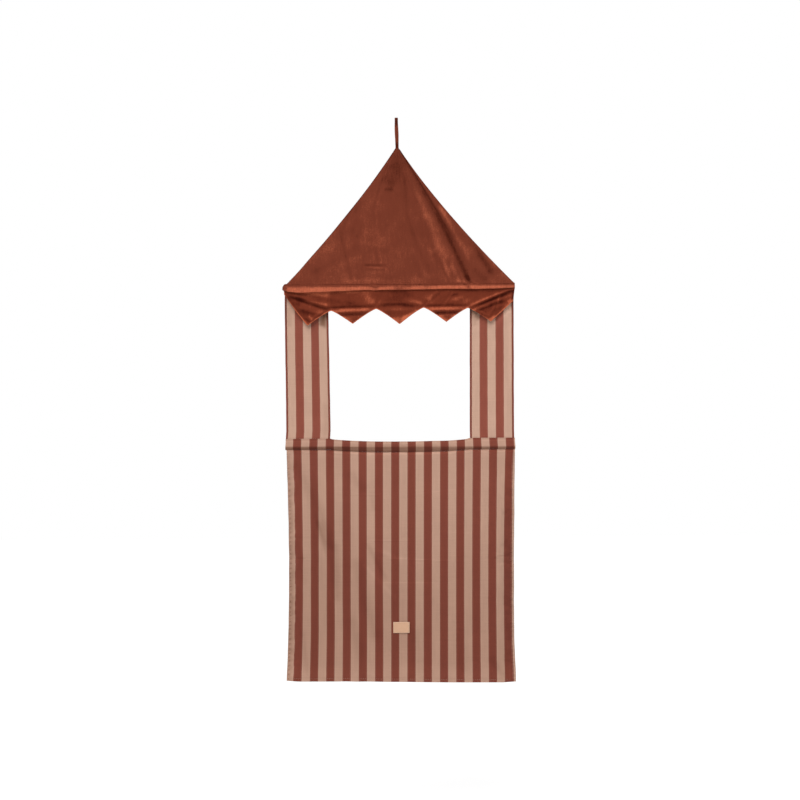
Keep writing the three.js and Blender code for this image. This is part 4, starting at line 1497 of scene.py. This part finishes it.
def makeFront():
    values = frontValues
    width = values["width"] * mm
    length = frontLength()
    rim = values["rim"] * mm

    def place(u, v):
        point = frontPoint((u - 0.5) * width, v)
        edge = min((0.5 - abs(u - 0.5)) * width, (1 - v) * length)
        point.y += turnedBack(edge, rim)
        return point

    def marks(u, v):
        x, drop = (u - 0.5) * width, v * length
        # painted light and shade: a highlight along the top under the sleeve, shade along the side edges and the
        # bottom hem's line, darker lower down, shade in the puckers by the side hems, and light and dark ripples
        # near them
        top = 1.25 * (1 - easeIn(drop, 3, 7)) + 0.12 * (1 - easeIn(drop, 12, 16))
        sides = -0.12 * smooth((abs(x) - width / 2 + 16 * mm) / (16 * mm)) + foldHeight(x, drop, values["shadeMarks"])
        hem = -0.1 * hump(length - drop - values["bottomHem"] * mm, 3 * mm)
        fall = -0.06 - 0.44 * smooth((v - 0.06) / 0.75) + 0.2 * smooth((v - 0.9) / 0.08)
        fall -= 0.08 * easeIn(-x, 60, 160) * hump(drop - 260 * mm, 260 * mm)
        inset = width / 2 - abs(x)
        turn = drop / (values["puckerPitch"] * mm) + 1.5 * drift(x * 0.02, drop, 0.06, 69)
        pucker = max(0, math.sin(2 * math.pi * turn)) * smooth(v * 12)
        fall -= values["puckerDark"] * pucker * hump(inset - 5.5 * mm, 3 * mm)
        wave = math.sin(2 * math.pi * drop / (86 * mm) + 2.4 * (inset / (30 * mm)) + 4 * drift(0, drop, 0.02, 70))
        fall += 0.13 * wave * hump(inset - 14 * mm, 18 * mm) * smooth(v * 8)
        return top + sides + hem + fall + 0.05 * drift(x, drop, 0.07, 67)

    side = rimmed(values["columns"] // 2, width / 2, 2 * rim, 5)
    us = [0.5 - u / 2 for u in reversed(side[1:])] + [0.5 + u / 2 for u in side]
    vs = rimmed(values["rows"], length, 2 * rim, 5)
    flat = (width, length)
    cloth = makeSheet("front_striped_cloth", us, vs, flat, place, values["thickness"] * mm, frontStripes, marks)
    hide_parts("front_panel")
    blendFront(cloth)
    left, right = (reach * mm / width for reach in values["hemReach"])
    low = 1 - values["bottomHem"] * mm / length
    upright = (0.004, low - 0.001)
    tall = (values["hem"] * mm, length * low)
    near, far = values["hemEnd"], 1 - values["hemEnd"]
    makeFrontHem("front_left_hem_cloth", "front_left_hem", (near, left), upright, (6, 160), tall)
    makeFrontHem("front_right_hem_cloth", "front_right_hem", (1 - right, far), upright, (6, 160), tall)
    makeFrontHem("front_bottom_hem_cloth", "front_bottom_hem", (near, far), (low, 1 - 0.0014),
                 (values["columns"], 6), (width, values["bottomHem"] * mm))
    print("front cloth made")


# stitches along a line on the front cloth, on the face and on the hem behind
def makeFrontStitches(name, spots, material):
    values = frontValues
    faces = []
    for across, v, direction in spots:
        for behind, face in ((-0.05 * mm, -1), ((2 * values["thickness"] + 0.35) * mm, 1)):
            faces.append((frontPoint(across, v, behind), direction, (0, face, 0)))
    row = makeStitches(name, faces, values, material)
    blendFront(row)


def makeFrontSeams():
    values = frontValues
    width, length = values["width"] * mm, frontLength()
    pitch = values["stitchPitch"] * mm
    count = int((length - 16 * mm) / pitch)
    for side, sign, reach in zip(("left", "right"), (-1, 1), values["hemReach"]):
        across = sign * (width / 2 - (reach - 2) * mm)
        edge = sign * (width / 2 - 1.6 * mm)
        rows = [(across, (12 * mm + k * pitch) / length, (0, 0, 1)) for k in range(count)]
        makeFrontStitches("front_" + side + "_hem_stitches", rows, paleThread)
        whip = [(edge, (14 * mm + k * pitch) / length, (0.9, 0, 0.35)) for k in range(count)]
        makeFrontStitches("front_" + side + "_edge_stitches", whip, darkThread)
    v = 1 - (values["bottomHem"] - 5) * mm / length
    count = int((width - 12 * mm) / pitch)
    rows = [(-width / 2 + 8 * mm + k * pitch, v, (1, 0, 0)) for k in range(count)]
    makeFrontStitches("front_bottom_hem_stitches", rows, paleThread)
    print("front seams made")


labelValues = {
    "shift": (-2.2, -1.2),
    "corner": 1.5,
    "stitchInset": 2.4,
    "stitchPitch": 3.1,
    "stitchLength": 2.0,
    "stitchRadius": 0.3,
}


# the bare leather label, softly domed between its sewn ends
def makeLabel():
    values = labelValues
    shift = Vector((values["shift"][0] * mm, 0, values["shift"][1] * mm))
    low, high = (end + shift for end in places["label"])
    corner = values["corner"] * mm
    width, height, thickness = high.x - low.x, high.z - low.z, high.y - low.y
    mesh = bmesh.new()
    bmesh.ops.create_grid(mesh, x_segments=48, y_segments=32, size=0.5)
    rimLayer = mesh.verts.layers.float.new("toneAndShade")
    for vert in mesh.verts:
        x, z = vert.co.x * width, vert.co.y * height
        inside = min(width / 2 - abs(x), height / 2 - abs(z))
        vert[rimLayer] = 0.9 * (1 - smooth(inside / (1.6 * mm)))
        beyond = (max(abs(x) - width / 2 + corner, 0), max(abs(z) - height / 2 + corner, 0))
        cut = max(0, math.hypot(*beyond) - corner)
        if cut:
            pull = 1 - cut / math.hypot(x, z)
            x, z = x * pull, z * pull
        dome = 0.15 * mm * (1 - (2 * x / width) ** 2) * (1 - (2 * z / height) ** 2)
        vert.co = ((low.x + high.x) / 2 + x, low.y + 0.1 * mm - dome + turnedBack(inside, 0.5 * mm) * 0.6,
                   (low.z + high.z) / 2 + z)
    label = finishPiece("leather_label", mesh, leather, thickness - 0.2 * mm)
    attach(label, "front")
    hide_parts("label")
    spots = []
    inset = values["stitchInset"] * mm
    pitch = values["stitchPitch"] * mm
    across = int((width - 2 * inset) / pitch)
    upright = int((height - 2 * inset) / pitch)
    for k in range(across + 1):
        for z in (low.z + inset, high.z - inset):
            x = (low.x + high.x) / 2 + (k - across / 2) * pitch
            spots.append(((x, low.y - 0.02 * mm, z), (1, 0, 0), (0, -1, 0)))
    for k in range(1, upright):
        for x in (low.x + inset, high.x - inset):
            z = (low.z + high.z) / 2 + (k - upright / 2) * pitch
            spots.append(((x, low.y + 0.02 * mm, z), (0, 0, 1), (0, -1, 0)))
    row = makeStitches("leather_label_stitches", spots, values, paleThread)
    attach(row, "front")
    print("label made")


studioValues = {
    "distance": 6.0,
    "pixelsWide": 800,
    "metresPerPixel": 3.09 * mm,
    "aimX": 0.6 * mm,
    "aimZ": -0.8698,
    "roll": 0.35,
    "floorDrop": 2.15,
    "ambient": 0.26,
    "keyPower": 2.75,
    "keyFrom": (-0.34, -0.94, 1.4),
    "keySoftness": 38,
    "backPower": 60,
    "backFrom": (1.2, 3.4, 1.2),
    "backSize": 2,
    "floorHalf": 12,
    "floorGlow": 1.12,
    "floorShare": 0.8,
}


# 1 for the rays that show the studio itself, 0 for those that light the theatre
def seenRays(tree):
    rays = addNode(tree, "ShaderNodeLightPath").outputs
    seen = calc(tree, "MAXIMUM", rays["Is Camera Ray"], rays["Is Glossy Ray"])
    return calc(tree, "MAXIMUM", seen, rays["Is Transmission Ray"])


def makeStudio():
    values = studioValues
    scene = bpy.context.scene
    camera = bpy.data.objects.new("camera", bpy.data.cameras.new("camera"))
    scene.collection.objects.link(camera)
    scene.camera = camera
    wide = values["pixelsWide"] * values["metresPerPixel"]
    camera.data.sensor_width = 36
    camera.data.lens = 36 * values["distance"] / wide
    camera.matrix_world = (Matrix.Translation((values["aimX"], -values["distance"], values["aimZ"]))
                           @ Matrix.Rotation(math.pi / 2, 4, "X")
                           @ Matrix.Rotation(math.radians(-values["roll"]), 4, "Z"))

    def lamp(name, kind, power, place):
        data = bpy.data.lights.new(name, kind)
        data.energy = power
        light = bpy.data.objects.new(name, data)
        scene.collection.objects.link(light)
        light.location = place
        light.rotation_euler = (-Vector(place)).to_track_quat("-Z", "Y").to_euler()
        return data

    lamp("key_lamp", "SUN", values["keyPower"], values["keyFrom"]).angle = math.radians(values["keySoftness"])
    lamp("back_lamp", "AREA", values["backPower"], values["backFrom"]).size = values["backSize"]

    mesh = bmesh.new()
    bmesh.ops.create_grid(mesh, x_segments=4, y_segments=4, size=values["floorHalf"])
    bmesh.ops.translate(mesh, verts=mesh.verts, vec=(0, 0, -values["floorDrop"]))
    material, tree, shader = newMaterial("pale_floor")
    glow = addNode(tree, "ShaderNodeEmission", {"Color": (1, 1, 1, 1), "Strength": values["floorGlow"]})
    dull = addNode(tree, "ShaderNodeBsdfDiffuse", {"Color": (0.9, 0.9, 0.9, 1)})
    share = calc(tree, "MULTIPLY", seenRays(tree), values["floorShare"])
    both = addNode(tree, "ShaderNodeMixShader", {0: share, 1: dull.outputs[0], 2: glow.outputs[0]})
    tree.links.new(both.outputs[0], tree.nodes["Material Output"].inputs["Surface"])
    tree.nodes.remove(shader)
    finishPiece("floor", mesh, material)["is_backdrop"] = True

    world = bpy.data.worlds.new("studio")
    scene.world = world
    world.use_nodes = True
    tree = world.node_tree
    strength = calc(tree, "MULTIPLY_ADD", seenRays(tree), 1 - values["ambient"], values["ambient"])
    background = tree.nodes["Background"]
    background.inputs["Color"].default_value = (1, 1, 1, 1)
    tree.links.new(strength, background.inputs["Strength"])
    scene.view_settings.view_transform = "Standard"
    print("studio made")


makeStudio()
makeRod("eave_dowel_rod", "eave_rod", "eave_dowel", places["eaveRod"], places["eaveZ"])
makeRod("counter_dowel_rod", "counter_rod", "counter_dowel", places["counterRod"], places["counterZ"])
makeRoofCloth("roof_front_cloth", "roof_front_panel", True)
makeRoofCloth("roof_back_cloth", "roof_back_panel", False)
print("roof cloths made")
makeLoopStrap()
makeEaveSleeve()
makeValance()
for side in ("left", "right"):
    makeSidePanel(side)
makeCounterSleeve()
makeFront()
makeFrontSeams()
makeLabel()

[[list(corner) for corner in box] for box in (cadBox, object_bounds())]
